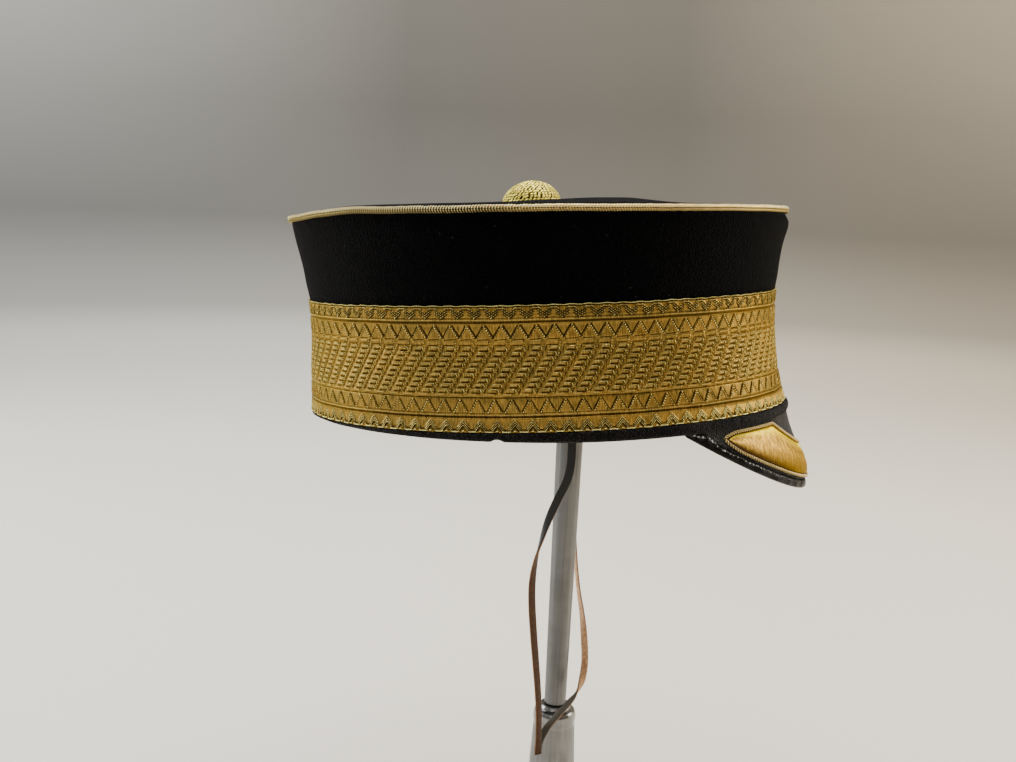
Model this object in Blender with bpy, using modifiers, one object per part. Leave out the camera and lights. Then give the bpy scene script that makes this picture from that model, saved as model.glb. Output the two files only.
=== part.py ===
# A forage cap on a plain display stand, at its real size, in metres with +Z up.
# The peak points to -Y. The origin is the centre of the stand's foot, on its underside.
# The stand is upright and the cap sits on its head tilted nose-up, so the cap's pieces hang under a
# tilted empty. In the cap's own frame -Y is fore, +X is the wearer's left and z = 0 is the lower edge
# of the lace. Walls are cloth, board or leather, each a shell with its real thickness.
import math

import bmesh
import bpy
from mathutils import Vector

# Overall sizes of the cap, over the lace
CAP_LENGTH = 0.1910
CAP_WIDTH = 0.1608
EGG_SHARE = 0.015
CROWN_HEIGHT = 0.0769
BAND_HEIGHT = 0.0445
FIT_GAP = 0.0003

# Walls and trims
CLOTH_THICKNESS = 0.0020
TIP_THICKNESS = 0.0014
LACE_THICKNESS = 0.0009
LACE_STEP = 0.0060
DOME_HEIGHT = 0.0039
PIPING_HEIGHT = 0.0024
PIPING_DEPTH = 0.0013
WELT_HEIGHT = 0.0043
WELT_PROUD = 0.0008
BUTTON_DIAMETER = 0.0238
BUTTON_HEIGHT = 0.0083
BUTTON_FORE = -0.0036
BUTTON_FULLNESS = 1.75  # 2 is half an ellipse, less is more pointed

# Peak
PEAK_SPAN = math.radians(56)
PEAK_DROP = 0.0329
PEAK_END_DROP = 0.0041
PEAK_OUTSET = 0.0085
PEAK_THICKNESS = 0.0020
BINDING_WIDTH = 0.0034
BINDING_PROUD = 0.0003
PANEL_WIDTH = 0.0198
PANEL_THICKNESS = 0.0008
PANEL_REACH = 0.89  # share of the peak's span that the gold panel covers
EDGE_CORD_DIAMETER = 0.0010

# Chin strap
STRAP_WIDTH = 0.0031
STRAP_THICKNESS = 0.0010
STRAP_DROP = 0.1393
STRAP_TUCK = 0.0150

# Stand
STAND_TILT = math.radians(4.26)
STAND_FORE = 0.0116
RIM_HEIGHT = 0.2150
FOOT_DIAMETER = 0.1400
FOOT_HEIGHT = 0.0070
SLEEVE_FOOT_DIAMETER = 0.0250
SLEEVE_TOP_DIAMETER = 0.0180
SLEEVE_TOP_HEIGHT = 0.0720
SLEEVE_FLARE = 1.12  # how much its lowest end widens
COLLAR_DIAMETER = 0.0186
COLLAR_HEIGHT = 0.0090
SEAT_DIAMETER = 0.0130
POLE_FOOT_DIAMETER = 0.0093
POLE_RIM_DIAMETER = 0.0115
HEAD_DIAMETER = 0.0700
HEAD_RADIUS = 0.0900
HEAD_EDGE = 0.0030

# How finely the round pieces are faceted
AROUND = 50
TURNED_STEPS = 28
FOOT_STEPS = 40
PEAK_STEPS = 26
EDGE_CORD_STEPS = 30
STRAP_STEPS = 84

# The side wall's finished outline, as shares of the crown's height and of half the cap's length.
# The foot flares only fore and aft, so over the sides its flare is limited.
SIDE_SECTIONS = (
    # height share, fore reach share, aft reach share
    (0.00, 1.035, 1.014),
    (0.05, 1.025, 1.012),
    (0.12, 1.011, 1.010),
    (0.21, 1.000, 1.008),
    (0.34, 0.992, 1.001),
    (0.46, 0.990, 1.000),
    (0.58, 0.997, 1.005),
    (0.68, 1.004, 1.013),
    (0.76, 1.013, 1.022),
    (0.83, 1.025, 1.034),
    (0.89, 1.040, 1.045),
    (0.93, 1.047, 1.051),
    (0.96, 1.039, 1.056),
    (1.00, 1.021, 1.058),
)
WAIST_SHARE = 0.5
SIDE_FOOT_FLARE_SHARE = 1.005

# How the crown's upper edge rises and dips around the oval
CROWN_EDGE = (
    # degrees from the front, rise as a share of the crown's height
    (0, -0.024),
    (45, -0.014),
    (70, -0.006),
    (90, 0.004),
    (107, 0.009),
    (120, 0.015),
    (132, 0.022),
    (143, 0.014),
    (156, 0.002),
    (180, -0.001),
)

# The crown's top along its middle line, a low dome that falls off towards the peak
TIP_PROFILE = (
    # fore share of half the length, rise as a share of the dome's height
    (-1.00, 0.00),
    (-0.80, 0.28),
    (-0.60, 0.54),
    (-0.40, 0.68),
    (-0.15, 0.72),
    (0.05, 0.87),
    (0.22, 1.00),
    (0.36, 0.96),
    (0.50, 0.42),
    (0.64, 0.10),
    (0.80, 0.03),
    (1.00, 0.00),
)

# Soft swellings and dips of the crown's top
TIP_WAVES = (
    # fore share, wearer's-left share, radius share, rise as a share of the dome's height
    (-0.42, -0.45, 0.22, -0.08),
    (-0.30, 0.45, 0.24, 0.12),
    (0.35, 0.50, 0.22, -0.14),
    (0.20, -0.50, 0.20, 0.06),
)

# The braid's section: two lobes with a groove between them
PIPING_SECTION = (
    # share of its depth out from the seam, share of half its height
    (0.45, 1.0),
    (0.95, 0.8),
    (1.0, 0.4),
    (0.65, 0.0),
    (1.0, -0.4),
    (0.95, -0.8),
    (0.45, -1.0),
    (0.0, -0.6),
    (0.0, 0.6),
)

# The welt grows thin towards the back
WELT_TAPER = (
    # degrees from the front, share of the welt's full height
    (0, 1.00),
    (75, 1.00),
    (105, 0.74),
    (135, 0.38),
    (160, 0.16),
    (180, 0.14),
)

# The welt's rounded section
WELT_SECTION = (
    # share of the way in from its face, share of the way down
    (0.06, 0.0),
    (0.0, 0.3),
    (0.0, 0.7),
    (0.08, 1.0),
    (0.9, 1.0),
    (1.0, 0.75),
    (1.0, 0.25),
    (0.94, 0.0),
)

# The peak's section, from under the welt down to the free edge
PEAK_SECTION = (
    # share of the drop, share of the outset
    (0.00, 0.06),
    (0.20, 0.25),
    (0.40, 0.52),
    (0.60, 0.78),
    (0.80, 0.95),
    (1.00, 1.00),
)
PEAK_END_SHARE = 0.20

# The folded leather's section round the peak's edge
BINDING_SECTION = (
    # share of its width down from its upper edge, share of the way through the peak
    (0.0, 0.15),
    (0.08, 0.0),
    (0.6, 0.0),
    (0.9, 0.14),
    (1.0, 0.5),
    (0.9, 0.86),
    (0.6, 1.0),
    (0.08, 1.0),
    (0.0, 0.85),
)

# The chin strap's route, from inside the right wall round to inside the left wall. Fore, and height
# below the rim, are shares of the strap's drop, and height above the rim is a share of its tuck.
# Across is a share of the way from the middle to the inner wall.
STRAP_ROUTE = (
    # fore, across (right is +), height, degrees that the black side has turned from facing out
    (0.065, 1.000, 1.00, 0),
    (0.064, 1.000, 0.33, 0),
    (0.062, 0.994, -0.040, 0),
    (0.058, 0.986, -0.092, 2),
    (0.048, 0.976, -0.133, 8),
    (0.022, 0.950, -0.188, 22),
    (-0.002, 0.921, -0.244, 45),
    (-0.021, 0.891, -0.302, 78),
    (-0.037, 0.858, -0.360, 118),
    (-0.047, 0.826, -0.421, 142),
    (-0.050, 0.790, -0.483, 155),
    (-0.048, 0.734, -0.580, 168),
    (-0.044, 0.672, -0.678, 180),
    (-0.040, 0.610, -0.778, 182),
    (-0.039, 0.557, -0.864, 182),
    (-0.041, 0.520, -0.930, 180),
    (-0.043, 0.504, -0.970, 180),
    (-0.044, 0.497, -0.991, 180),
    (-0.044, 0.486, -1.000, 180),
    (-0.044, 0.475, -0.991, 180),
    (-0.040, 0.467, -0.970, 180),
    (-0.029, 0.451, -0.950, 178),
    (-0.011, 0.406, -0.935, 176),
    (0.016, 0.334, -0.923, 176),
    (0.041, 0.262, -0.914, 174),
    (0.062, 0.190, -0.907, 160),
    (0.083, 0.112, -0.895, 92),
    (0.099, 0.040, -0.873, 22),
    (0.109, -0.066, -0.841, 0),
    (0.111, -0.183, -0.800, -6),
    (0.109, -0.332, -0.745, -16),
    (0.102, -0.478, -0.688, -26),
    (0.098, -0.655, -0.614, -30),
    (0.097, -0.812, -0.496, -24),
    (0.098, -0.917, -0.367, -12),
    (0.093, -0.976, -0.215, 0),
    (0.086, -0.994, -0.072, 0),
    (0.080, -1.000, 0.33, 0),
    (0.078, -1.000, 1.00, 0),
)


def clear_scene():
    for thing in list(bpy.data.objects):
        bpy.data.objects.remove(thing, do_unlink=True)


def eased(table, place, column):
    """The value in a table's column at this place in its first column, smooth at each row."""
    for index in range(1, len(table)):
        if place <= table[index][0] or index == len(table) - 1:
            before, start, end = table[max(index - 2, 0)], table[index - 1], table[index]
            after = table[min(index + 1, len(table) - 1)]
            length = end[0] - start[0]
            share = min(max((place - start[0]) / length, 0.0), 1.0)
            slope_in = length * (end[column] - before[column]) / (end[0] - before[0])
            slope_out = length * (after[column] - start[column]) / (after[0] - start[0])
            rest = 1.0 - share
            return (
                (1 + 2 * share) * rest * rest * start[column]
                + share * rest * rest * slope_in
                + share * share * (3 - 2 * share) * end[column]
                - share * share * rest * slope_out
            )


def material(name, colour, roughness, metallic=0.0):
    finish = bpy.data.materials.new(name)
    finish.use_nodes = True
    shader = finish.node_tree.nodes["Principled BSDF"]
    shader.inputs["Base Color"].default_value = (*colour, 1.0)
    shader.inputs["Roughness"].default_value = roughness
    shader.inputs["Metallic"].default_value = metallic
    return finish


def add_object(name, data, parent, finish):
    thing = bpy.data.objects.new(name, data)
    parts.objects.link(thing)
    thing.parent = parent
    data.materials.append(finish)
    return thing


def mesh_from(name, bm, smooth_angle=40):
    mesh = bpy.data.meshes.new(name)
    bm.to_mesh(mesh)
    bm.free()
    mesh.shade_smooth()
    mesh.set_sharp_from_angle(angle=math.radians(smooth_angle))
    return mesh


def face_out(bm):
    """Turns a closed shape's faces outwards."""
    bmesh.ops.recalc_face_normals(bm, faces=bm.faces)
    if bm.calc_volume(signed=True) < 0:
        bmesh.ops.reverse_faces(bm, faces=bm.faces)


def oval(height, bearing, outset=0.0):
    """A point of the cap's finished outline at this height and angle from the front, moved out."""
    share = min(max(height / CROWN_HEIGHT, 0.0), 1.0)
    fore = eased(SIDE_SECTIONS, share, 1) * CAP_LENGTH / 2
    aft = eased(SIDE_SECTIONS, share, 2) * CAP_LENGTH / 2
    flare = (fore + aft) / CAP_LENGTH
    if share < WAIST_SHARE:
        flare = min(flare, SIDE_FOOT_FLARE_SHARE)
    side = CAP_WIDTH / 2 * flare
    reach = fore if math.cos(bearing) > 0 else aft
    forward = reach * math.cos(bearing)
    right = side * math.sin(bearing) * (1.0 - EGG_SHARE * math.cos(bearing))
    out = Vector((math.sin(bearing) / side, math.cos(bearing) / reach)).normalized()
    return Vector((-right - out.x * outset, -forward - out.y * outset, height))


def edge_rise(bearing):
    return CROWN_HEIGHT * eased(CROWN_EDGE, abs(math.degrees(bearing)), 1)


def side_point(share, bearing, outset=0.0):
    """A point of the side wall, this share of the way up to the crown's edge."""
    point = oval(share * CROWN_HEIGHT, bearing, outset)
    point.z += edge_rise(bearing) * share**4
    return point


def drum(name, levels, place, parent, finish, filled=False):
    """Loops of the oval, one for each level. The last loop meets the first, or both ends are filled."""
    bm = bmesh.new()
    bmesh.ops.create_circle(bm, segments=AROUND, radius=1.0)
    loops = [list(bm.edges)]
    for _ in levels[1:]:
        made = bmesh.ops.extrude_edge_only(bm, edges=loops[-1])["geom"]
        raised = {item for item in made if isinstance(item, bmesh.types.BMVert)}
        bmesh.ops.translate(bm, verts=list(raised), vec=(0, 0, 1))
        loops.append([edge for edge in bm.edges if all(vert in raised for vert in edge.verts)])
    for vert in bm.verts:
        level = levels[round(vert.co.z)]
        vert.co = place(level, math.atan2(vert.co.x, vert.co.y))
    if filled:
        for loop in (loops[0], loops[-1]):
            end = bmesh.ops.edgeloop_fill(bm, edges=loop)["faces"]
            bmesh.ops.poke(bm, faces=end)
    else:
        bmesh.ops.bridge_loops(bm, edges=loops[0] + loops[-1])
    face_out(bm)
    return add_object(name, mesh_from(name, bm), parent, finish)


def turned(name, profile, parent, finish, steps=TURNED_STEPS):
    """A profile of (radius, height) points, top to bottom, turned round the upright axis."""
    mesh = bpy.data.meshes.new(name)
    points = [(radius, 0.0, height) for radius, height in profile]
    mesh.from_pydata(points, [(i, i + 1) for i in range(len(points) - 1)], [])
    thing = add_object(name, mesh, parent, finish)
    screw = thing.modifiers.new("Turn", "SCREW")
    screw.axis = "Z"
    screw.angle = math.tau
    screw.steps = steps
    screw.render_steps = steps
    screw.use_merge_vertices = True
    screw.merge_threshold = 0.00001
    screw.use_smooth_shade = True
    return thing


def slab(name, across, down, place, parent, finish):
    """A closed pad of across by down cells, each corner put by place, with w 0 on its face, 1 on its back."""
    bm = bmesh.new()
    bmesh.ops.create_grid(bm, x_segments=across, y_segments=down, size=1.0)
    copied = bmesh.ops.duplicate(bm, geom=list(bm.verts) + list(bm.edges) + list(bm.faces))["geom"]
    back = [item for item in copied if isinstance(item, bmesh.types.BMVert)]
    bmesh.ops.translate(bm, verts=back, vec=(0, 0, 1))
    bmesh.ops.bridge_loops(bm, edges=[edge for edge in bm.edges if edge.is_boundary])
    for vert in bm.verts:
        vert.co = place((vert.co.x + 1) / 2, (vert.co.y + 1) / 2, vert.co.z)
    face_out(bm)
    return add_object(name, mesh_from(name, bm), parent, finish)


def cord_object(name, points, diameter, parent, finish):
    """A closed round cord through these points."""
    curve = bpy.data.curves.new(name, "CURVE")
    curve.dimensions = "3D"
    curve.bevel_depth = diameter / 2
    curve.bevel_resolution = 1
    spline = curve.splines.new("POLY")
    spline.points.add(len(points) - 1)
    for slot, point in zip(spline.points, points):
        slot.co = (*point, 1.0)
    spline.use_cyclic_u = True
    return add_object(name, curve, parent, finish)


# Crown: the side wall, the top, the braid over their seam, and the button


def cloth_outset(height):
    """How far the cloth lies behind the finished outline: under the lace, and fading out above it."""
    under_lace = LACE_THICKNESS + FIT_GAP
    above = (height - BAND_HEIGHT - FIT_GAP) / LACE_STEP
    return -under_lace if above <= 0 else -under_lace / 2 * max(0.0, 1.0 - above)


def build_crown_side(cap, cloth):
    seam = 1.0 - FIT_GAP / 2 / CROWN_HEIGHT
    band = BAND_HEIGHT / CROWN_HEIGHT
    shares = [band * part for part in (0.0, 0.14, 0.4, 0.75, 1.0)]
    shares += [band + (seam - band) * part for part in (0.04, 0.3, 0.55, 0.75, 0.88, 1.0)]
    section = [(share, 0.0) for share in shares] + [(share, CLOTH_THICKNESS) for share in shares[::-1]]

    def place(corner, bearing):
        share, inward = corner
        return side_point(share, bearing, cloth_outset(share * CROWN_HEIGHT) - inward)

    drum("crown_side", section, place, cap, cloth)


def tip_top(fore_share, left_share):
    """Height of the crown's top over its own edge, at these shares of the half length and half width."""
    radius = min(math.hypot(fore_share, left_share), 1.0)
    chord = math.sqrt(max(1.0 - fore_share**2, 1e-6))
    rise = eased(TIP_PROFILE, fore_share, 1) * (1.0 - min(abs(left_share) / chord, 1.0) ** 2.2)
    for fore, left, size, swell in TIP_WAVES:
        distance = math.hypot(fore_share - fore, left_share - left)
        rise += swell * math.exp(-((distance / size) ** 2)) * (1.0 - radius**4)
    return DOME_HEIGHT * rise


def tip_point(share, bearing, above_seam):
    """A point of the crown's top, this share of the way from the middle out to the seam."""
    seam = side_point(1.0, bearing)
    rise = above_seam + tip_top(share * math.cos(bearing), -share * math.sin(bearing))
    level = CROWN_HEIGHT + (seam.z - CROWN_HEIGHT) * share**2
    return Vector((seam.x * share, seam.y * share, level + rise))


def button_seat():
    """The slope of the cloth under the button, and the level that clears it when leaning the same way."""
    middle = BUTTON_FORE / (CAP_LENGTH / 2)
    foot = BUTTON_DIAMETER / CAP_LENGTH
    slope = (tip_top(middle + foot, 0.0) - tip_top(middle - foot, 0.0)) / BUTTON_DIAMETER
    tops = []
    for reach in (0.0, foot / 2, foot):
        for step in range(12):
            forward = reach * math.cos(math.tau * step / 12)
            cloth = tip_top(middle + forward, reach * math.sin(math.tau * step / 12))
            tops.append(cloth - slope * forward * CAP_LENGTH / 2)
    return slope, CROWN_HEIGHT + FIT_GAP / 2 + TIP_THICKNESS + max(tops)


def build_crown_tip(cap, cloth):
    shares = [0.08, 0.26, 0.45, 0.64, 0.82, 0.96]
    bottom, top = FIT_GAP / 2, FIT_GAP / 2 + TIP_THICKNESS
    section = [(share, top) for share in shares] + [(1.0, (bottom + 2 * top) / 3)]
    section += [(1.0, bottom)] + [(share, bottom) for share in shares[::-1]]

    def place(corner, bearing):
        share, above_seam = corner
        return tip_point(share, bearing, above_seam)

    drum("crown_tip", section, place, cap, cloth, filled=True)


def build_crown_piping(cap, gold):
    """Two strands of round braid side by side, as one section with a groove between its lobes."""

    beside = 1.0 - PIPING_HEIGHT / 2 / CROWN_HEIGHT

    def place(corner, bearing):
        outward, up = corner
        outset = FIT_GAP + PIPING_DEPTH * outward
        below, at_seam = side_point(beside, bearing, outset), side_point(1.0, bearing, outset)
        widest = max(below, at_seam, key=lambda point: point.xy.length)
        return Vector((widest.x, widest.y, at_seam.z + PIPING_HEIGHT / 2 * up))

    drum("crown_piping", PIPING_SECTION, place, cap, gold)


def build_top_button(cap, gold):
    slope, seat = button_seat()
    radius = BUTTON_DIAMETER / 2
    profile = [(0.0, BUTTON_HEIGHT)]
    for step in range(1, 10):
        share = math.cos(math.pi / 2 * step / 9)
        profile.append((radius * math.sqrt(1.0 - share**BUTTON_FULLNESS), BUTTON_HEIGHT * share))
    profile.append((0.0, 0.0))
    button = turned("top_button", profile, cap, gold)
    button.location = (0.0, -BUTTON_FORE, seat + FIT_GAP)
    button.rotation_euler = (-math.atan(slope), 0.0, 0.0)


# Band: the gold lace and the cloth welt that binds the lower edge


def build_lace_band(cap, gold):
    heights = [BAND_HEIGHT * share for share in (0.0, 0.14, 0.4, 0.75, 1.0)]
    section = [(height, 0.0) for height in heights] + [(height, -LACE_THICKNESS) for height in heights[::-1]]
    drum("lace_band", section, lambda corner, bearing: oval(corner[0], bearing, corner[1]), cap, gold)


def welt_height(bearing):
    return WELT_HEIGHT * eased(WELT_TAPER, abs(math.degrees(bearing)), 1)


def build_base_welt(cap, cloth):
    depth = WELT_PROUD + LACE_THICKNESS + FIT_GAP + CLOTH_THICKNESS

    def place(corner, bearing):
        outward, down = corner
        tall = welt_height(bearing)
        proud = WELT_PROUD * tall / WELT_HEIGHT
        point = oval(0.0, bearing, proud - depth * outward)
        point.z = -FIT_GAP - (tall - FIT_GAP) * down
        return point

    drum("base_welt", WELT_SECTION, place, cap, cloth)


# Peak: the board, the padded gold panel with its cord, and the patent leather binding


def peak_share(bearing):
    """1 at the middle of the peak, 0 at its ends."""
    ends = math.cos(PEAK_SPAN)
    return (math.cos(bearing) - ends) / (1.0 - ends)


def peak_drop(bearing):
    return PEAK_END_DROP + (PEAK_DROP - PEAK_END_DROP) * peak_share(bearing)


def peak_point(bearing, below, outset=0.0):
    """A point of the peak's face, this far below the welt."""
    drop = peak_drop(bearing)
    width = PEAK_END_SHARE + (1.0 - PEAK_END_SHARE) * peak_share(bearing)
    outset += PEAK_OUTSET * width * eased(PEAK_SECTION, below / drop, 1)
    point = oval(0.0, bearing, outset)
    point.z = -(WELT_HEIGHT + FIT_GAP) - below
    return point


def build_peak_body(cap, cloth):
    span = PEAK_SPAN * 0.985

    def place(u, v, w):
        bearing = span * (2 * u - 1)
        end = peak_drop(bearing) - BINDING_WIDTH - FIT_GAP
        return peak_point(bearing, end * (1 - v), -PEAK_THICKNESS * w)

    slab("peak_body", PEAK_STEPS, 6, place, cap, cloth)


def build_peak_binding(cap, leather):
    depth = PEAK_THICKNESS + 2 * BINDING_PROUD
    steps = PEAK_STEPS + 4
    bm = bmesh.new()
    rows = []
    for step in range(steps + 1):
        bearing = PEAK_SPAN * (2 * step / steps - 1)
        top = peak_drop(bearing) - BINDING_WIDTH
        row = []
        for down, inward in BINDING_SECTION:
            at = peak_point(bearing, top + BINDING_WIDTH * down, BINDING_PROUD - depth * inward)
            row.append(bm.verts.new(at))
        rows.append(row)
    for row, following in zip(rows, rows[1:]):
        for index, corner in enumerate(row):
            bm.faces.new((row[index - 1], corner, following[index], following[index - 1]))
    bm.faces.new(rows[0])
    bm.faces.new(rows[-1])
    face_out(bm)
    add_object("peak_binding", mesh_from("peak_binding", bm), cap, leather)


def panel_edges(bearing, trim, end):
    """How far below the welt the panel starts and ends at this bearing. It is trimmed level above."""
    drop = peak_drop(bearing)
    lower = drop - BINDING_WIDTH - FIT_GAP - trim
    upper = max(FIT_GAP + trim, drop - BINDING_WIDTH - FIT_GAP - PANEL_WIDTH + trim)
    share = min(abs(bearing) / end, 1.0)
    rounding = math.sqrt(max(0.0, 1.0 - max(0.0, (share - 0.9) / 0.1) ** 2))
    middle = (upper + lower) / 2
    half = max(lower - upper, 0.0) / 2 * max(rounding, 0.12)
    return middle - half, middle + half


def build_peak_embroidery(cap, gold):
    trim = EDGE_CORD_DIAMETER + FIT_GAP
    end = PEAK_SPAN * PANEL_REACH * 0.98

    def place(u, v, w):
        bearing = end * (2 * u - 1)
        upper, lower = panel_edges(bearing, trim, end)
        pad = PANEL_THICKNESS * (0.35 + 0.65 * math.sin(math.pi * v) ** 0.5)
        return peak_point(bearing, lower + (upper - lower) * v, FIT_GAP + pad * (1 - w))

    slab("peak_embroidery", PEAK_STEPS + 4, 5, place, cap, gold)


def build_peak_edge_cord(cap, gold):
    radius = EDGE_CORD_DIAMETER / 2
    end = PEAK_SPAN * PANEL_REACH
    upper, lower = [], []
    for step in range(EDGE_CORD_STEPS + 1):
        bearing = end * (2 * step / EDGE_CORD_STEPS - 1)
        high, low = panel_edges(bearing, radius, end)
        upper.append(peak_point(bearing, high, FIT_GAP + radius))
        lower.append(peak_point(bearing, low, FIT_GAP + radius))
    cord_object("peak_edge_cord", upper + lower[::-1], EDGE_CORD_DIAMETER, cap, gold)


# Chin strap: one ribbon of leather, black outside and brown inside


def strap_stations():
    wall = LACE_THICKNESS + CLOTH_THICKNESS + 2 * FIT_GAP + STRAP_THICKNESS / 2
    stations = []
    for fore, across, height, turn in STRAP_ROUTE:
        forward = fore * STRAP_DROP
        nearest = math.acos((forward + STRAP_WIDTH / 2) / (CAP_LENGTH / 2))
        inside = abs(oval(STRAP_TUCK, nearest).x) - wall
        level = height * (STRAP_TUCK if height > 0 else STRAP_DROP)
        place = Vector((-across * inside, -forward, level))
        stations.append((place, math.radians(turn)))
    return stations


def along_route(stations, count):
    """Evenly spread places on a smooth curve through the stations, with the turn at each."""
    lengths = [0.0]
    for (start, _), (end, _) in zip(stations, stations[1:]):
        lengths.append(lengths[-1] + (end - start).length)
    columns = [(length, *place, turn) for length, (place, turn) in zip(lengths, stations)]
    spread = [lengths[-1] * step / count for step in range(count + 1)]
    return [[eased(columns, length, column) for column in range(1, 5)] for length in spread]


def build_chin_strap(cap, leather):
    route = along_route(strap_stations(), STRAP_STEPS)
    fore = Vector((0, -1, 0))

    def place(u, v):
        step = round(v * STRAP_STEPS)
        here = Vector(route[step][:3])
        before, after = route[max(step - 1, 0)], route[min(step + 1, STRAP_STEPS)]
        along = (Vector(after[:3]) - Vector(before[:3])).normalized()
        outward = along.cross(fore).normalized()
        turn = route[step][3]
        black = outward * math.cos(turn) + along.cross(outward) * math.sin(turn)
        return here + along.cross(black) * STRAP_WIDTH * (u - 0.5)

    bm = bmesh.new()
    bmesh.ops.create_grid(bm, x_segments=1, y_segments=STRAP_STEPS, size=1.0)
    for vert in bm.verts:
        vert.co = place((vert.co.x + 1) / 2, (vert.co.y + 1) / 2)
    bmesh.ops.recalc_face_normals(bm, faces=bm.faces)
    strap = add_object("chin_strap", mesh_from("chin_strap", bm), cap, leather)
    wall = strap.modifiers.new("Wall", "SOLIDIFY")
    wall.thickness = STRAP_THICKNESS
    wall.offset = 0.0
    wall.use_even_offset = True


# Stand: foot, tapered leg, collar, pole and head, all turned


def collar_top():
    return SLEEVE_TOP_HEIGHT + FIT_GAP + COLLAR_HEIGHT


def build_stand_base(steel):
    radius, edge = FOOT_DIAMETER / 2, FOOT_HEIGHT * 0.25
    land = SLEEVE_FOOT_DIAMETER * SLEEVE_FLARE / 2 + edge
    profile = [
        (0.0, FOOT_HEIGHT),
        (land, FOOT_HEIGHT),
        (land + (radius - land) * 0.5, FOOT_HEIGHT * 0.86),
        (radius - edge * 2, FOOT_HEIGHT * 0.6),
        (radius - edge * 0.3, FOOT_HEIGHT * 0.42),
        (radius, edge),
        (radius - edge * 0.3, 0.0),
        (0.0, 0.0),
    ]
    turned("stand_base", profile, None, steel, FOOT_STEPS)


def build_stand_sleeve(steel):
    foot, top = SLEEVE_FOOT_DIAMETER / 2, SLEEVE_TOP_DIAMETER / 2
    bottom = FOOT_HEIGHT + FIT_GAP
    flare_top = bottom + (SLEEVE_TOP_HEIGHT - bottom) * 0.12
    profile = [
        (0.0, SLEEVE_TOP_HEIGHT),
        (top, SLEEVE_TOP_HEIGHT),
        (foot * 0.94, flare_top),
        (foot * SLEEVE_FLARE, bottom),
        (0.0, bottom),
    ]
    turned("stand_sleeve", profile, None, steel)


def build_stand_collar(steel):
    bottom = SLEEVE_TOP_HEIGHT + FIT_GAP
    middle = bottom + COLLAR_HEIGHT * 0.4
    radius, seat = COLLAR_DIAMETER / 2, SEAT_DIAMETER / 2
    profile = [(0.0, collar_top()), (seat, collar_top())]
    profile.append((seat + (radius - seat) * 0.15, collar_top() - COLLAR_HEIGHT * 0.12))
    for step in range(5):
        angle = math.radians(70 - 20 * step)
        reach = seat + (radius - seat) * math.cos(angle) ** 0.6
        profile.append((reach, middle + COLLAR_HEIGHT * 0.4 * math.sin(angle)))
    profile += [(SLEEVE_TOP_DIAMETER / 2, bottom), (0.0, bottom)]
    turned("stand_collar", profile, None, steel)


def head_top_centre():
    """The level of the head's ball centre: the tilted top of the crown rests on it."""
    normal = Vector((0, math.sin(STAND_TILT), math.cos(STAND_TILT)))
    fore_share = (STAND_FORE + CROWN_HEIGHT * math.tan(STAND_TILT)) / (CAP_LENGTH / 2)
    under = CROWN_HEIGHT + FIT_GAP / 2 + tip_top(fore_share, 0.0)
    point = Vector((0, STAND_FORE, RIM_HEIGHT)) + normal * under
    return (normal.dot(point) - HEAD_RADIUS - 2 * FIT_GAP) / normal.z


def head_profile():
    centre = head_top_centre()
    reach = HEAD_DIAMETER / 2
    widest = math.asin(reach / HEAD_RADIUS)
    dome = []
    for step in range(7):
        angle = widest * step / 6
        dome.append((HEAD_RADIUS * math.sin(angle), centre + HEAD_RADIUS * math.cos(angle)))
    return dome


def build_stand_head(steel):
    dome = head_profile()
    reach, edge_top = dome[-1]
    under = edge_top - HEAD_EDGE
    rounded = [(reach, under + HEAD_EDGE * 0.3), (reach * 0.97, under), (0.0, under)]
    turned("stand_head", dome + rounded, None, steel)


def build_stand_pole(steel):
    foot, rim = POLE_FOOT_DIAMETER / 2, POLE_RIM_DIAMETER / 2
    bottom = collar_top() + FIT_GAP
    top = head_profile()[-1][1] - HEAD_EDGE - FIT_GAP
    profile = [(0.0, top), (rim, top), (rim, RIM_HEIGHT), (foot, bottom), (0.0, bottom)]
    turned("stand_pole", profile, None, steel)


clear_scene()
parts = bpy.data.collections.new("forage_cap")
bpy.context.scene.collection.children.link(parts)

cap_frame = bpy.data.objects.new("cap_frame", None)
parts.objects.link(cap_frame)
cap_frame.location = (0.0, STAND_FORE, RIM_HEIGHT)
cap_frame.rotation_euler = (-STAND_TILT, 0.0, 0.0)

black_cloth = material("black_cloth", (0.006, 0.006, 0.008), 0.95)
tip_cloth = material("tip_cloth", (0.007, 0.007, 0.009), 0.95)
welt_cloth = material("welt_cloth", (0.006, 0.006, 0.007), 0.9)
peak_cloth = material("peak_cloth", (0.007, 0.007, 0.008), 0.9)
gold_lace = material("gold_lace", (0.42, 0.26, 0.06), 0.45, 0.8)
gold_braid = material("gold_braid", (0.55, 0.42, 0.16), 0.45, 0.8)
gold_netting = material("gold_netting", (0.66, 0.50, 0.16), 0.4, 0.8)
gold_satin = material("gold_satin", (0.56, 0.36, 0.11), 0.35, 0.8)
gold_cord = material("gold_cord", (0.60, 0.46, 0.18), 0.4, 0.8)
patent_leather = material("patent_leather", (0.004, 0.004, 0.004), 0.12)
strap_leather = material("strap_leather", (0.09, 0.04, 0.02), 0.55)
steel_foot = material("steel_foot", (0.30, 0.30, 0.29), 0.4, 0.9)
steel_sleeve = material("steel_sleeve", (0.25, 0.25, 0.25), 0.35, 0.9)
steel_collar = material("steel_collar", (0.35, 0.35, 0.35), 0.2, 0.95)
steel_pole = material("steel_pole", (0.24, 0.24, 0.23), 0.4, 0.9)
steel_head = material("steel_head", (0.25, 0.25, 0.25), 0.4, 0.9)

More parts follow.
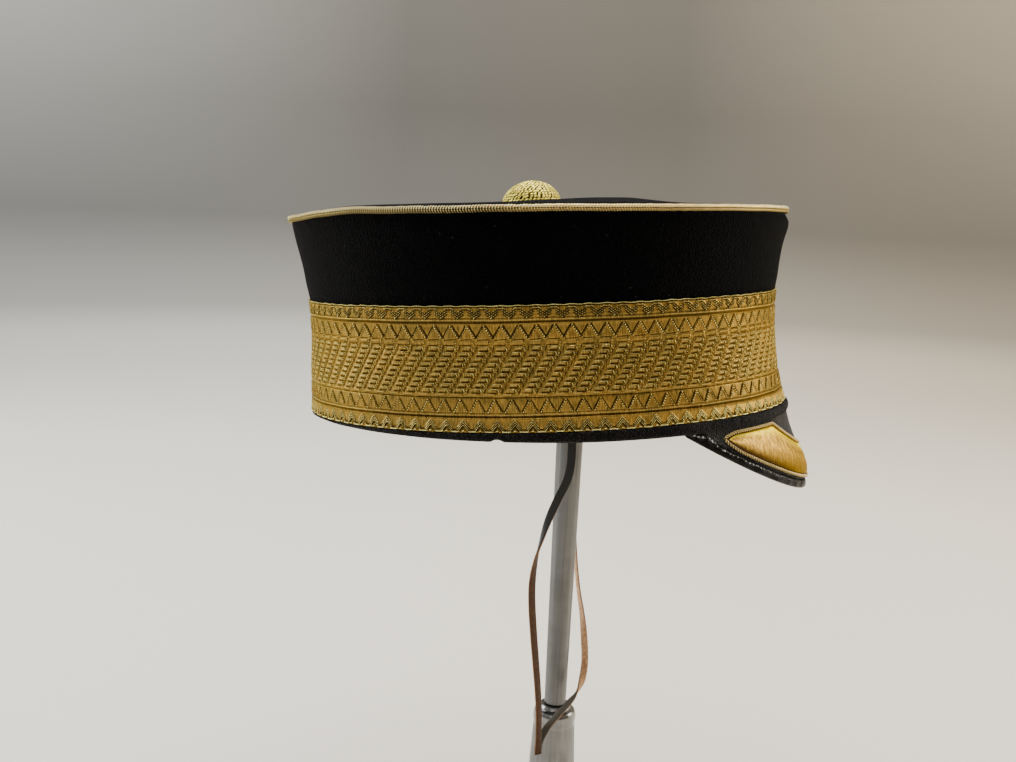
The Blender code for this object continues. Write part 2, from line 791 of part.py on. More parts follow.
build_crown_side(cap_frame, black_cloth)
build_crown_tip(cap_frame, tip_cloth)
build_crown_piping(cap_frame, gold_braid)
build_top_button(cap_frame, gold_netting)
build_lace_band(cap_frame, gold_lace)
build_base_welt(cap_frame, welt_cloth)
build_peak_body(cap_frame, peak_cloth)
build_peak_binding(cap_frame, patent_leather)
build_peak_embroidery(cap_frame, gold_satin)
build_peak_edge_cord(cap_frame, gold_cord)
build_chin_strap(cap_frame, strap_leather)
build_stand_base(steel_foot)
build_stand_sleeve(steel_sleeve)
build_stand_collar(steel_collar)
build_stand_pole(steel_pole)
build_stand_head(steel_head)
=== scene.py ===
# A forage cap on a plain steel display stand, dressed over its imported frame, in metres with +Z up.
# The peak points to -Y. The cap's own axes are those of the stand, tilted nose-up about the rim's
# middle: in them -Y is fore, +X is the wearer's left, and height is measured from the lace's foot.
import math

import bmesh
import bpy
import numpy as np
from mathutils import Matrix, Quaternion, Vector


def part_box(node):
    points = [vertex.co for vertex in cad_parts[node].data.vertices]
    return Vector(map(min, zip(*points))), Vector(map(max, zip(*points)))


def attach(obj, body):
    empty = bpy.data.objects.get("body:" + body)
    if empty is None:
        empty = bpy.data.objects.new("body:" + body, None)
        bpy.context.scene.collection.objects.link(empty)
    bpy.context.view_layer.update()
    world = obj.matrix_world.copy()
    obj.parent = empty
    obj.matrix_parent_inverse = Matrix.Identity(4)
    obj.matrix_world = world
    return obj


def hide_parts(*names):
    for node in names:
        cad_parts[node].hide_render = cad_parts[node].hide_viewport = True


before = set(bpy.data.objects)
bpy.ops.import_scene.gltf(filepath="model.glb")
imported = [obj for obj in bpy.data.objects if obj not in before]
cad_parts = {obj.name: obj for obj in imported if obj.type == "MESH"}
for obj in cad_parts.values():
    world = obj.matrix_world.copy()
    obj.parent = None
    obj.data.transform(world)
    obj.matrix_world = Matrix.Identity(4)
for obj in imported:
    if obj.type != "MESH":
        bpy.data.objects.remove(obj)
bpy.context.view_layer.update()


# Camera. It stands off the wearer's right side, a little below the level of the crown's seam, looks
# slightly down at the lace, and leans to its left by about three degrees.
CAMERA_PLACE = Vector((-0.4577, 0.0210, 0.2827))
CAMERA_AIM = Vector((-0.0041, 0.0272, 0.2221))
CAMERA_LEAN = math.radians(2.778)
FOCAL_PIXELS = 1100
PICTURE_WIDTH = 1016

camera_data = bpy.data.cameras.new("camera")
camera_data.sensor_width = 36.0
camera_data.lens = camera_data.sensor_width * FOCAL_PIXELS / PICTURE_WIDTH
camera = bpy.data.objects.new("camera", camera_data)
bpy.context.scene.collection.objects.link(camera)
look = (CAMERA_AIM - CAMERA_PLACE).to_track_quat("-Z", "Y")
camera.rotation_mode = "QUATERNION"
camera.rotation_quaternion = look @ Quaternion((0.0, 0.0, 1.0), CAMERA_LEAN)
camera.location = CAMERA_PLACE
bpy.context.scene.camera = camera


# Crown side. One wall of black milled wool cloth over a stiffener, drawn tight round an oval drum that
# flares towards its top, with a dark polished lining inside. The lace hides its lower half.
CAP_LENGTH, CAP_WIDTH, EGG_SHARE = 0.1910, 0.1608, 0.015
CROWN_HEIGHT, BAND_HEIGHT = 0.0769, 0.0445
LACE_THICKNESS, FIT_GAP, LACE_STEP = 0.0009, 0.0003, 0.0060
CLOTH_THICKNESS = 0.0020
STAND_TILT, STAND_FORE, RIM_HEIGHT = math.radians(4.26), 0.0116, 0.2150
WAIST_SHARE, SIDE_FOOT_FLARE_SHARE = 0.5, 1.005
SIDE_AROUND, SIDE_ROWS = 240, 34
PUCKERS_START, PUCKERS_FULL, PUCKER_RISE, SIDE_SLACK = 0.90, 0.97, 0.00012, 0.00025
SIDE_SECTIONS = (
    # height share, fore reach share, aft reach share
    (0.00, 1.035, 1.014),
    (0.05, 1.025, 1.012),
    (0.12, 1.011, 1.010),
    (0.21, 1.000, 1.008),
    (0.34, 0.992, 1.001),
    (0.46, 0.990, 1.000),
    (0.58, 0.997, 1.005),
    (0.68, 1.004, 1.013),
    (0.76, 1.013, 1.022),
    (0.83, 1.025, 1.034),
    (0.89, 1.040, 1.045),
    (0.93, 1.047, 1.051),
    (0.96, 1.039, 1.056),
    (1.00, 1.021, 1.058),
)
CROWN_EDGE = (
    # degrees from the front, rise as a share of the crown's height
    (0, -0.024),
    (45, -0.014),
    (70, -0.006),
    (90, 0.004),
    (107, 0.009),
    (120, 0.015),
    (132, 0.022),
    (143, 0.014),
    (156, 0.002),
    (180, -0.001),
)


def eased(table, places, column):
    """A table's column at these places in its first column, smooth at each row."""
    table = np.array(table, float)
    places = np.clip(places, table[0, 0], table[-1, 0])
    start = np.clip(np.searchsorted(table[:, 0], places) - 1, 0, len(table) - 2)
    before, end = np.maximum(start - 1, 0), start + 1
    after = np.minimum(start + 2, len(table) - 1)
    at, value = table[:, 0], table[:, column]
    length = at[end] - at[start]
    share = (places - at[start]) / length
    slope_in = length * (value[end] - value[before]) / (at[end] - at[before])
    slope_out = length * (value[after] - value[start]) / (at[after] - at[start])
    rest = 1.0 - share
    kept = (1 + 2 * share) * rest * rest * value[start] + share * rest * rest * slope_in
    return kept + share * share * (3 - 2 * share) * value[end] - share * share * rest * slope_out


def oval(height, bearing, outset=0.0):
    """Points of the cap's outline at these heights and angles from the front, moved out."""
    share = np.clip(height / CROWN_HEIGHT, 0.0, 1.0)
    fore = eased(SIDE_SECTIONS, share, 1) * CAP_LENGTH / 2
    aft = eased(SIDE_SECTIONS, share, 2) * CAP_LENGTH / 2
    flare = (fore + aft) / CAP_LENGTH
    flare = np.where(share < WAIST_SHARE, np.minimum(flare, SIDE_FOOT_FLARE_SHARE), flare)
    side = CAP_WIDTH / 2 * flare
    reach = np.where(np.cos(bearing) > 0, fore, aft)
    forward = reach * np.cos(bearing)
    right = side * np.sin(bearing) * (1.0 - EGG_SHARE * np.cos(bearing))
    out_right, out_fore = np.sin(bearing) / side, np.cos(bearing) / reach
    size = np.hypot(out_right, out_fore)
    right = right + out_right / size * outset
    forward = forward + out_fore / size * outset
    return np.stack([-right, -forward, np.broadcast_to(height, right.shape)], axis=-1)


def side_point(share, bearing, outset=0.0):
    """Points of the side wall, this share of the way up to the crown's edge."""
    points = oval(share * CROWN_HEIGHT, bearing, outset)
    edge = CROWN_HEIGHT * eased(CROWN_EDGE, np.abs(np.degrees(bearing)), 1)
    points[..., 2] += edge * share**4
    return points


def on_head(points):
    """Points in the cap's own axes, tilted and lifted to where the stand holds the cap."""
    x, y, z = points[..., 0], points[..., 1], points[..., 2]
    back = y * math.cos(STAND_TILT) + z * math.sin(STAND_TILT) + STAND_FORE
    up = z * math.cos(STAND_TILT) - y * math.sin(STAND_TILT) + RIM_HEIGHT
    return np.stack([x, back, up], axis=-1)


def named(name):
    """The object that an operator has just made, under this name."""
    piece = bpy.context.object
    piece.name = piece.data.name = name
    return piece


def drum(name, around, rows, bands=1):
    """An upright tube of quads, its ends open, in bands of this many rows each, still to be shaped."""
    bpy.ops.object.select_all(action="DESELECT")
    bpy.ops.mesh.primitive_cylinder_add(vertices=around, radius=1, depth=1, end_fill_type="NOTHING")
    piece = named(name)
    bpy.ops.object.mode_set(mode="EDIT")
    bpy.ops.mesh.select_mode(type="EDGE")
    for parts in (bands, rows):
        if parts == 1:
            continue
        bpy.ops.mesh.select_all(action="DESELECT")
        bm = bmesh.from_edit_mesh(piece.data)
        for edge in bm.edges:
            edge.select_set(abs(edge.verts[0].co.z - edge.verts[1].co.z) > 0.0001)
        bpy.ops.mesh.subdivide(number_cuts=parts - 1)
    bpy.ops.object.mode_set(mode="OBJECT")
    return piece


def ring(name, around, section):
    """A closed hoop of quads, made of a tube whose two ends are joined, still to be shaped."""
    piece = drum(name, around, section - 1)
    bpy.ops.object.mode_set(mode="EDIT")
    bpy.ops.mesh.select_all(action="DESELECT")
    bpy.ops.mesh.select_non_manifold()
    bpy.ops.mesh.bridge_edge_loops()
    bpy.ops.object.mode_set(mode="OBJECT")
    return piece


def corners(piece):
    """Where the piece's corners are, one to a row."""
    points = np.empty(len(piece.data.vertices) * 3)
    piece.data.vertices.foreach_get("co", points)
    return points.reshape(-1, 3)


def bearings(points):
    """Each corner's angle from the front, positive to the wearer's right."""
    return np.arctan2(points[:, 0], points[:, 1])


def put(piece, points):
    """Moves the piece's corners to these points."""
    piece.data.vertices.foreach_set("co", np.ascontiguousarray(points, float).ravel())
    piece.data.update()


def face_out(piece):
    """Turns a piece's faces outwards: of an open wall, away from the cap's upright axis."""
    bpy.ops.object.select_all(action="DESELECT")
    piece.select_set(True)
    bpy.context.view_layer.objects.active = piece
    bpy.ops.object.mode_set(mode="EDIT")
    bpy.ops.mesh.select_all(action="SELECT")
    bpy.ops.mesh.normals_make_consistent(inside=False)
    bpy.ops.object.mode_set(mode="OBJECT")
    bm = bmesh.new()
    bm.from_mesh(piece.data)
    if bm.calc_volume(signed=True) < 0:
        piece.data.flip_normals()
    bm.free()


def thicken(piece, thickness):
    """Gives an open wall its thickness, inwards, with its last finish on the inside."""
    wall = piece.modifiers.new("wall", "SOLIDIFY")
    wall.thickness = thickness
    wall.offset = -1.0
    wall.use_even_offset = True
    wall.material_offset = len(piece.data.materials) - 1
    bpy.context.view_layer.objects.active = piece
    bpy.ops.object.modifier_apply(modifier=wall.name)


def dress(piece, finishes, wall=0.0):
    """Gives a shaped piece its finishes, its wall if it has one, and smooth shading."""
    for finish in finishes:
        piece.data.materials.append(finish)
    if wall:
        thicken(piece, wall)
    piece.data.shade_smooth()


def lay_uv(piece, along, across, whole):
    """A UV map along and across the piece, with its whole length where it closes on itself."""
    mesh = piece.data
    layer = mesh.uv_layers.new(name="cloth")
    loops = np.empty(len(mesh.loops), int)
    mesh.loops.foreach_get("vertex_index", loops)
    starts = np.empty(len(mesh.polygons), int)
    totals = np.empty(len(mesh.polygons), int)
    mesh.polygons.foreach_get("loop_start", starts)
    mesh.polygons.foreach_get("loop_total", totals)
    u, v = along[loops], across[loops]
    face = np.repeat(np.arange(len(starts)), totals)
    high = np.full(len(starts), -1e9)
    np.maximum.at(high, face, u)
    u = np.where(high[face] - u > whole / 2, u + whole, u)
    layer.data.foreach_set("uv", np.stack([u, v], axis=-1).ravel())


def ripple(seed, count, *axes):
    """A soft random swell from -1 to 1 over these axes, each given in ripples, the same each run."""
    draw = np.random.default_rng(seed)
    total = 0.0
    for _ in range(count):
        phase = draw.uniform(0, math.tau)
        for axis in axes:
            phase = phase + axis * draw.uniform(-1, 1)
        total = total + np.sin(phase)
    return total / count**0.5 / 1.5


def finish_for(name, colour, roughness, metallic=0.0, others=()):
    """A new material, with the values that are the same all over the surface."""
    made = bpy.data.materials.new(name)
    made.use_nodes = True
    shader = made.node_tree.nodes["Principled BSDF"]
    shader.inputs["Base Color"].default_value = (*colour, 1.0)
    shader.inputs["Roughness"].default_value = roughness
    shader.inputs["Metallic"].default_value = metallic
    for socket, value in dict(others).items():
        shader.inputs[socket].default_value = value
    return made


def node(made, kind, settings=(), **inputs):
    """Adds a node, sets its options, and fills or links its inputs by name."""
    new = made.node_tree.nodes.new("ShaderNode" + kind)
    for option, value in dict(settings).items():
        setattr(new, option, value)
    for name, value in inputs.items():
        plug(made, value, new.inputs[int(name[1:]) if name[1:].isdigit() else name])
    return new


def plug(made, value, socket):
    if isinstance(value, bpy.types.NodeSocket):
        made.node_tree.links.new(value, socket)
    else:
        socket.default_value = value


def shader_of(made):
    return made.node_tree.nodes["Principled BSDF"]


def noise(made, scale, detail=3.0, vector=None, roughness=0.5):
    """Soft random patches from 0 to 1, this many to a metre, or to a unit of the vector."""
    where = vector or node(made, "TexCoord").outputs["Object"]
    new = node(made, "TexNoise", Vector=where, Scale=scale, Detail=detail, Roughness=roughness)
    return new.outputs["Fac"]


def spread(made, value, low, high, to_low=0.0, to_high=1.0, ease="LINEAR"):
    """Maps a value from one range to another, held at both ends."""
    ranges = {"From Min": low, "From Max": high, "To Min": to_low, "To Max": to_high}
    return node(made, "MapRange", {"interpolation_type": ease}, Value=value, **ranges).outputs["Result"]


def blend(made, share, first, second):
    """Mixes two colours or colour sockets."""
    new = node(made, "Mix", {"data_type": "RGBA"})
    plug(made, share, new.inputs[0])
    for value, socket in ((first, new.inputs[6]), (second, new.inputs[7])):
        plug(made, value if isinstance(value, bpy.types.NodeSocket) else (*value, 1.0), socket)
    return new.outputs[2]


def maths(made, how, first, second=0.0):
    new = node(made, "Math", {"operation": how})
    plug(made, first, new.inputs[0])
    plug(made, second, new.inputs[1])
    return new.outputs[0]


def bump(made, height, distance, strength=1.0):
    """Joins a height to the shader's normal, after any bump that is already there."""
    normal = shader_of(made).inputs["Normal"]
    new = node(made, "Bump", Height=height, Distance=distance, Strength=strength)
    if normal.links:
        plug(made, normal.links[0].from_socket, new.inputs["Normal"])
    plug(made, new.outputs["Normal"], normal)


def colour_by(made, socket):
    plug(made, socket, shader_of(made).inputs["Base Color"])


def roughness_by(made, socket):
    plug(made, socket, shader_of(made).inputs["Roughness"])


def milled_cloth(name, dark, light, sheen=0.045):
    """Close black wool with a raised nap, a soft bloom of lighter fibre and small pale specks of lint."""
    others = {"Specular IOR Level": 0.035, "Sheen Weight": sheen, "Sheen Roughness": 0.35}
    made = finish_for(name, dark, 0.95, 0.0, others)
    nap, bloom = noise(made, 1500.0, 4.0), noise(made, 60.0, 3.0)
    lint = node(made, "TexVoronoi", Vector=node(made, "TexCoord").outputs["Object"], Scale=420.0)
    speck = spread(made, lint.outputs["Distance"], 0.06, 0.13, 1.0, 0.0)
    rare = spread(made, lint.outputs["Color"], 0.66, 0.80)
    fibre = maths(made, "MULTIPLY", speck, rare)
    tone = maths(made, "MULTIPLY", spread(made, nap, 0.42, 0.66), spread(made, bloom, 0.3, 0.7))
    base = blend(made, tone, dark, light)
    colour_by(made, blend(made, maths(made, "MULTIPLY", fibre, 0.45), base, (0.10, 0.10, 0.11)))
    bump(made, nap, 0.0013, 1.0)
    bump(made, noise(made, 420.0, 3.0), 0.0006, 0.4)
    return made


black_cloth = milled_cloth("black_cloth", (0.0002, 0.0002, 0.0003), (0.0018, 0.0018, 0.0026), 0.036)
lining = finish_for("dark_lining", (0.012, 0.011, 0.011), 0.55)
bump(lining, noise(lining, 900.0), 0.0002, 0.5)

crown_side = drum("crown_side_cloth", SIDE_AROUND, SIDE_ROWS)
spots = corners(crown_side)
share = (spots[:, 2] + 0.5) * (1.0 - FIT_GAP / 2 / CROWN_HEIGHT)
bearing = bearings(spots)
height = share * CROWN_HEIGHT
under_lace = -(LACE_THICKNESS + FIT_GAP)
above_lace = (height - BAND_HEIGHT - FIT_GAP) / LACE_STEP
drawn_in = np.where(above_lace <= 0, under_lace, under_lace / 2 * np.clip(1.0 - above_lace, 0.0, 1.0))
near_seam = np.clip((share - PUCKERS_START) / (PUCKERS_FULL - PUCKERS_START), 0.0, 1.0)
puckers = PUCKER_RISE * ripple(4, 7, bearing * 90) * near_seam
slack = SIDE_SLACK * ripple(5, 5, bearing * 7, share * 9) * np.clip(above_lace / 2, 0.0, 1.0)
put(crown_side, on_head(side_point(share, bearing, drawn_in + puckers + slack)))
face_out(crown_side)
dress(crown_side, (black_cloth, lining), CLOTH_THICKNESS)
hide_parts("crown_side")
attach(crown_side, "root")


# Crown tip. One oval of the same cloth over a soft board, sewn to the side's upper edge. It stands in a
# low dome that falls off towards the peak, and is a little slack and wavy from wear.
TIP_THICKNESS, DOME_HEIGHT = 0.0014, 0.0039
TIP_AROUND, TIP_ROWS, TIP_EYE, MERGE_REACH = 200, 36, 0.01, 0.0018
GATHER_RISE, GATHERS_START, GATHERS_REACH, TIP_SLACK = 0.00018, 0.86, 0.1, 0.00022
ROLL_START, ROLL_FALL = 0.975, 0.0008
TIP_PROFILE = (
    # fore share of half the length, rise as a share of the dome's height
    (-1.00, 0.00),
    (-0.80, 0.28),
    (-0.60, 0.54),
    (-0.40, 0.68),
    (-0.15, 0.72),
    (0.05, 0.87),
    (0.22, 1.00),
    (0.36, 0.96),
    (0.50, 0.42),
    (0.64, 0.10),
    (0.80, 0.03),
    (1.00, 0.00),
)
TIP_WAVES = (
    # fore share, wearer's-left share, radius share, rise as a share of the dome's height
    (-0.42, -0.45, 0.22, -0.08),
    (-0.30, 0.45, 0.24, 0.12),
    (0.35, 0.50, 0.22, -0.14),
    (0.20, -0.50, 0.20, 0.06),
)


def tip_top(fore_share, left_share):
    """Height of the crown's top over its own edge, at these shares of the half length and width."""
    radius = np.minimum(np.hypot(fore_share, left_share), 1.0)
    chord = np.sqrt(np.maximum(1.0 - fore_share**2, 1e-6))
    rise = eased(TIP_PROFILE, fore_share, 1)
    rise = rise * (1.0 - np.minimum(np.abs(left_share) / chord, 1.0) ** 2.2)
    for fore, left, size, swell in TIP_WAVES:
        distance = np.hypot(fore_share - fore, left_share - left)
        rise = rise + swell * np.exp(-((distance / size) ** 2)) * (1.0 - radius**4)
    return DOME_HEIGHT * rise


# The tip's cloth is painted lighter than the side's, as painted light.
tip_cloth = milled_cloth("tip_cloth", (0.0009, 0.0009, 0.0011), (0.0045, 0.0045, 0.0055))
crown_tip = drum("crown_tip_cloth", TIP_AROUND, TIP_ROWS)
spots = corners(crown_tip)
share, bearing = TIP_EYE + (1.0 - TIP_EYE) * (0.5 - spots[:, 2]), bearings(spots)
seam = side_point(np.ones_like(share), bearing)
rise = tip_top(share * np.cos(bearing), -share * np.sin(bearing))
near_edge = np.clip((share - GATHERS_START) / GATHERS_REACH, 0, 1)
gathers = GATHER_RISE * ripple(8, 7, bearing * 60) * near_edge
slack = TIP_SLACK * ripple(9, 6, share * np.cos(bearing) * 14, share * np.sin(bearing) * 12)
level = CROWN_HEIGHT + (seam[:, 2] - CROWN_HEIGHT) * share**2 + FIT_GAP / 2 + TIP_THICKNESS
rolled = ROLL_FALL * np.clip((share - ROLL_START) / (1.0 - ROLL_START), 0, 1) ** 2
level = level + rise + gathers + slack * (1 - share**6) - rolled
put(crown_tip, on_head(np.stack([seam[:, 0] * share, seam[:, 1] * share, level], axis=-1)))
bpy.ops.object.mode_set(mode="EDIT")
bpy.ops.mesh.select_mode(type="VERT")
bm = bmesh.from_edit_mesh(crown_tip.data)
middle = np.array(on_head(np.array([0.0, 0.0, CROWN_HEIGHT])))
for vert in bm.verts:
    vert.select_set(math.hypot(vert.co.x - middle[0], vert.co.y - middle[1]) < MERGE_REACH)
bm.select_flush(True)
bpy.ops.mesh.merge(type="CENTER")
bpy.ops.object.mode_set(mode="OBJECT")
if sum(face.normal.z for face in crown_tip.data.polygons) < 0:
    crown_tip.data.flip_normals()
dress(crown_tip, (tip_cloth, lining), TIP_THICKNESS)
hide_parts("crown_tip")
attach(crown_tip, "root")


# Gold braid. Flat russia braid of two round strands, plaited herringbone from gilt thread, sewn over the
# seam of side and tip. The lower strand's threads slant against the upper one's. Its colour carries
# painted shade on the lower strand, the undersides and the join between the strands, and a painted
# highlight on the upper tops.
PIPING_HEIGHT, PIPING_DEPTH = 0.0024, 0.0013
STRAND_RADIUS = PIPING_HEIGHT / 4 * 1.06
PLAIT_PITCH, THREAD_SLANT = 0.00092, 1.5
SEAM_LENGTH = 0.580
STRAND_SIDES, THREAD_STEPS = 8, 4
THREAD_RELIEF, STRAND_UNEVEN, BRAID_WAVER = 0.10, 0.10, 0.00012


def ring_places(piece, section):
    """Each corner's angle round the ring, and its step round the ring's section."""
    points = corners(piece)
    return bearings(points), np.round((0.5 - points[:, 2]) * (section - 1)).astype(int)


def mark(piece, name, values):
    """Keeps one number a corner, such as how far a thread stands up, for the piece's material."""
    piece.data.attributes.new(name, "FLOAT", "POINT").data.foreach_set("value", values.astype(np.float32))


def marked(made, name):
    """The number that mark() has kept under this name, for the material."""
    return node(made, "Attribute", {"attribute_name": name}).outputs["Fac"]


def stored(made):
    """How far each thread stands up, from 0 to 1, as kept in the mesh."""
    return marked(made, "raised")


def cloth_map(made):
    """The map that lay_uv() has laid, for the material."""
    return node(made, "UVMap", {"uv_map": "cloth"}).outputs["UV"]


def plaited(made):
    """How far the slanting threads stand up, from the strand's own map in threads, held up part way
    towards the front, which thins the painted shade between the threads there.
    """
    threads = node(made, "SeparateXYZ", Vector=cloth_map(made))
    turn = maths(made, "ADD", threads.outputs["X"], threads.outputs["Y"])
    wave = spread(made, maths(made, "COSINE", maths(made, "MULTIPLY", turn, math.tau)), -0.8, 0.9)
    place = node(made, "SeparateXYZ", Vector=node(made, "TexCoord").outputs["Object"])
    return maths(made, "MAXIMUM", wave, spread(made, place.outputs["Y"], 0.015, 0.045, 0.42, 0.0))


def gilt(name, groove, ground, tarnish, crest, relief=stored, depth=0.0, metallic=0.8, roughness=0.34):
    """Gilt thread: painted shade between the threads, tarnished in patches, and a painted highlight along
    the highest ones.
    """
    made = finish_for(name, ground, roughness, metallic, {"Specular Tint": (*crest, 1.0)})
    raised = relief(made)
    worn = blend(made, spread(made, noise(made, 150.0, 3.0), 0.38, 0.62), ground, tarnish)
    # Painted shade in the grooves, and a painted highlight on the highest threads.
    low = blend(made, spread(made, raised, 0.0, 0.42), groove, worn)
    colour_by(made, blend(made, spread(made, raised, 0.76, 0.93), low, crest))
    roughness_by(made, spread(made, noise(made, 500.0, 2.0), 0.3, 0.7, roughness * 0.8, roughness * 1.2))
    if depth:
        bump(made, raised, depth)
    bump(made, noise(made, 5200.0, 2.0), 0.00008, 0.7)
    return made


def colour_of(made):
    """What the colour is worked out from so far."""
    return shader_of(made).inputs["Base Color"].links[0].from_socket


braid_colours = (0.02, 0.010, 0.002), (0.66, 0.46, 0.15), (0.50, 0.33, 0.11), (1.0, 0.86, 0.42)
gold_braid = gilt("gold_braid", *braid_colours, plaited, 0.0005, 1.0)
# Painted light and shade: the upper tops are brightened, the lower strand and the strands' undersides are
# darkened, and the join between the strands is darkened as painted shade.
painted_shade_share = marked(gold_braid, "painted_shade_share")
from_shaded_join = maths(gold_braid, "ABSOLUTE", maths(gold_braid, "SUBTRACT", painted_shade_share, 0.5))
shade = maths(
    gold_braid,
    "MULTIPLY",
    spread(gold_braid, painted_shade_share, 0.28, 0.80, 1.75, 0.42),
    spread(gold_braid, from_shaded_join, 0.02, 0.12, 0.25, 1.0),
)
shaded = node(gold_braid, "HueSaturation", Value=shade, Color=colour_of(gold_braid))
colour_by(gold_braid, shaded.outputs["Color"])
plait_threads = round(SEAM_LENGTH / PLAIT_PITCH)
for name, side, slant in (("braid_upper_strand", 1, 1), ("braid_lower_strand", -1, -1)):
    strand = ring(name, THREAD_STEPS * plait_threads, STRAND_SIDES)
    bearing, step = ring_places(strand, STRAND_SIDES)
    half = STRAND_SIDES // 2
    round_angle = math.tau * ((step + half) % STRAND_SIDES - half) / STRAND_SIDES
    thread = bearing / math.tau * plait_threads
    wave = np.cos(math.tau * thread + slant * round_angle * THREAD_SLANT)
    uneven = 1.0 + STRAND_UNEVEN * ripple(12 + side, 6, bearing * 160)
    radius = STRAND_RADIUS * (1.0 + THREAD_RELIEF * wave) * uneven
    outward = FIT_GAP + PIPING_DEPTH * 0.5 + radius * 1.02 * np.cos(round_angle)
    beside = np.full(len(bearing), 1.0 - PIPING_HEIGHT / 2 / CROWN_HEIGHT)
    below = side_point(beside, bearing, outward)
    at_seam = side_point(np.ones(len(bearing)), bearing, outward)
    wider = np.hypot(below[:, 0], below[:, 1]) > np.hypot(at_seam[:, 0], at_seam[:, 1])
    flat = np.where(wider[:, None], below[:, :2], at_seam[:, :2])
    up = at_seam[:, 2] + side * PIPING_HEIGHT / 4 + radius * np.sin(round_angle)
    up = up + BRAID_WAVER * ripple(20, 5, bearing * 26)
    put(strand, on_head(np.column_stack([flat, up])))
    face_out(strand)
    lay_uv(strand, thread, slant * round_angle * THREAD_SLANT / math.tau, plait_threads)
    mark(strand, "painted_shade_share", 0.5 - (side + np.sin(round_angle)) / 4)
    dress(strand, (gold_braid,))
    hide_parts("crown_piping")
    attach(strand, "root")


# Top button. A domed wooden mould netted over with gilt purl, worked in rounds of short slanted knots
# with painted shade in the pits between them and a painted highlight on their crests.
BUTTON_DIAMETER, BUTTON_HEIGHT, BUTTON_FORE, BUTTON_FULLNESS = 0.0238, 0.0083, -0.0036, 1.75
KNOT_LENGTH, KNOT_WIDTH, KNOT_RISE = 0.00165, 0.00125, 0.00048
KNOT_TILTS, KNOT_SHIFTS, KNOT_RISES = (0.25, 1.15), (-0.22, 0.22), (0.7, 1.0)
KNOT_LENGTH_SHARE, KNOT_WIDTH_SHARE, KNOT_LEVEL, FIRST_ROUND = 0.62, 0.42, 0.75, 0.35
BUTTON_AROUND, BUTTON_ROWS, BUTTON_EYE = 250, 84, 0.012
FOOT_POINTS, ARC_POINTS, UPRIGHT_SHARE = 12, 400, 1.6
PIT_DEPTH = 2.1  # a higher power makes the pits wider and the knots' bright crests narrower


def close_ends(piece):
    """Fills a tube's open ends."""
    bpy.ops.object.mode_set(mode="EDIT")
    bpy.ops.mesh.select_all(action="DESELECT")
    bpy.ops.mesh.select_non_manifold()
    bpy.ops.mesh.fill_holes(sides=0)
    bpy.ops.object.mode_set(mode="OBJECT")


def run_along(points):
    """How far along their line each of these points lies."""
    return np.concatenate([[0.0], np.cumsum(np.linalg.norm(np.diff(points, axis=0), axis=1))])


def unit(rows):
    """These directions, each one long."""
    return rows / np.linalg.norm(rows, axis=1)[:, None]


middle = np.array([BUTTON_FORE / (CAP_LENGTH / 2)])
foot = BUTTON_DIAMETER / CAP_LENGTH
zero = np.zeros(1)
lean = float((tip_top(middle + foot, zero) - tip_top(middle - foot, zero))[0]) / BUTTON_DIAMETER
reaches, turns = np.meshgrid([0.0, foot / 2, foot], math.tau * np.arange(FOOT_POINTS) / FOOT_POINTS)
forward = (reaches * np.cos(turns)).ravel()
cloth = tip_top(middle + forward, (reaches * np.sin(turns)).ravel())
button_foot = CROWN_HEIGHT + 1.5 * FIT_GAP + TIP_THICKNESS
button_foot += float((cloth - lean * forward * CAP_LENGTH / 2).max())

top_button = drum("netted_button", BUTTON_AROUND, BUTTON_ROWS)
spots = corners(top_button)
around, share = bearings(spots), BUTTON_EYE + (1.0 - BUTTON_EYE) * (0.5 - spots[:, 2])
level = np.cos(math.pi / 2 * share)
radius = BUTTON_DIAMETER / 2 * np.sqrt(1.0 - level**BUTTON_FULLNESS)
line = np.linspace(0.0, 1.0, ARC_POINTS)
line_level = np.cos(math.pi / 2 * line)
line_radius = BUTTON_DIAMETER / 2 * np.sqrt(1.0 - line_level**BUTTON_FULLNESS)
arc = run_along(np.column_stack([line_radius, line_level * BUTTON_HEIGHT]))
down = np.interp(share, line, arc)
draw = np.random.default_rng(31)
knots = np.zeros(len(share))
for number in range(int(arc[-1] / KNOT_WIDTH) + 1):
    centre = (number + FIRST_ROUND) * KNOT_WIDTH
    count = max(3, round(math.tau * np.interp(centre, arc, line_radius) / KNOT_LENGTH))
    tilts = draw.uniform(*KNOT_TILTS, count)
    shifts = draw.uniform(*KNOT_SHIFTS, count)
    rises = draw.uniform(*KNOT_RISES, count)
    place = around / math.tau * count + 0.5 * number
    for beside in (-1, 0, 1):
        knot = (np.floor(place).astype(int) + beside) % count
        across = (place - np.floor(place) - 0.5 - beside + shifts[knot]) * KNOT_LENGTH
        across = across * np.minimum(1.0, math.tau * radius / count / KNOT_LENGTH + 0.1)
        drop = down - centre
        turned_across = across * np.cos(tilts[knot]) + drop * np.sin(tilts[knot])
        turned_down = drop * np.cos(tilts[knot]) - across * np.sin(tilts[knot])
        inside = 1.0 - (turned_across / KNOT_LENGTH / KNOT_LENGTH_SHARE) ** 2
        inside = inside - (turned_down / KNOT_WIDTH / KNOT_WIDTH_SHARE) ** 2
        knots = np.maximum(knots, np.sqrt(np.clip(inside, 0.0, 1.0)) * rises[knot])
out = np.column_stack([np.sin(around) * radius, np.cos(around) * radius, level * BUTTON_HEIGHT])
normal = unit(np.column_stack([out[:, 0], out[:, 1], out[:, 2] * UPRIGHT_SHARE]))
out = out + normal * (KNOT_RISE * (knots - KNOT_LEVEL))[:, None]
out[:, 2] = np.maximum(out[:, 2], 0.0)
fore_slope = lean * out[:, 1]
button = np.column_stack([-out[:, 0], -out[:, 1] - BUTTON_FORE, out[:, 2] + button_foot + fore_slope])
put(top_button, on_head(button))
close_ends(top_button)
face_out(top_button)
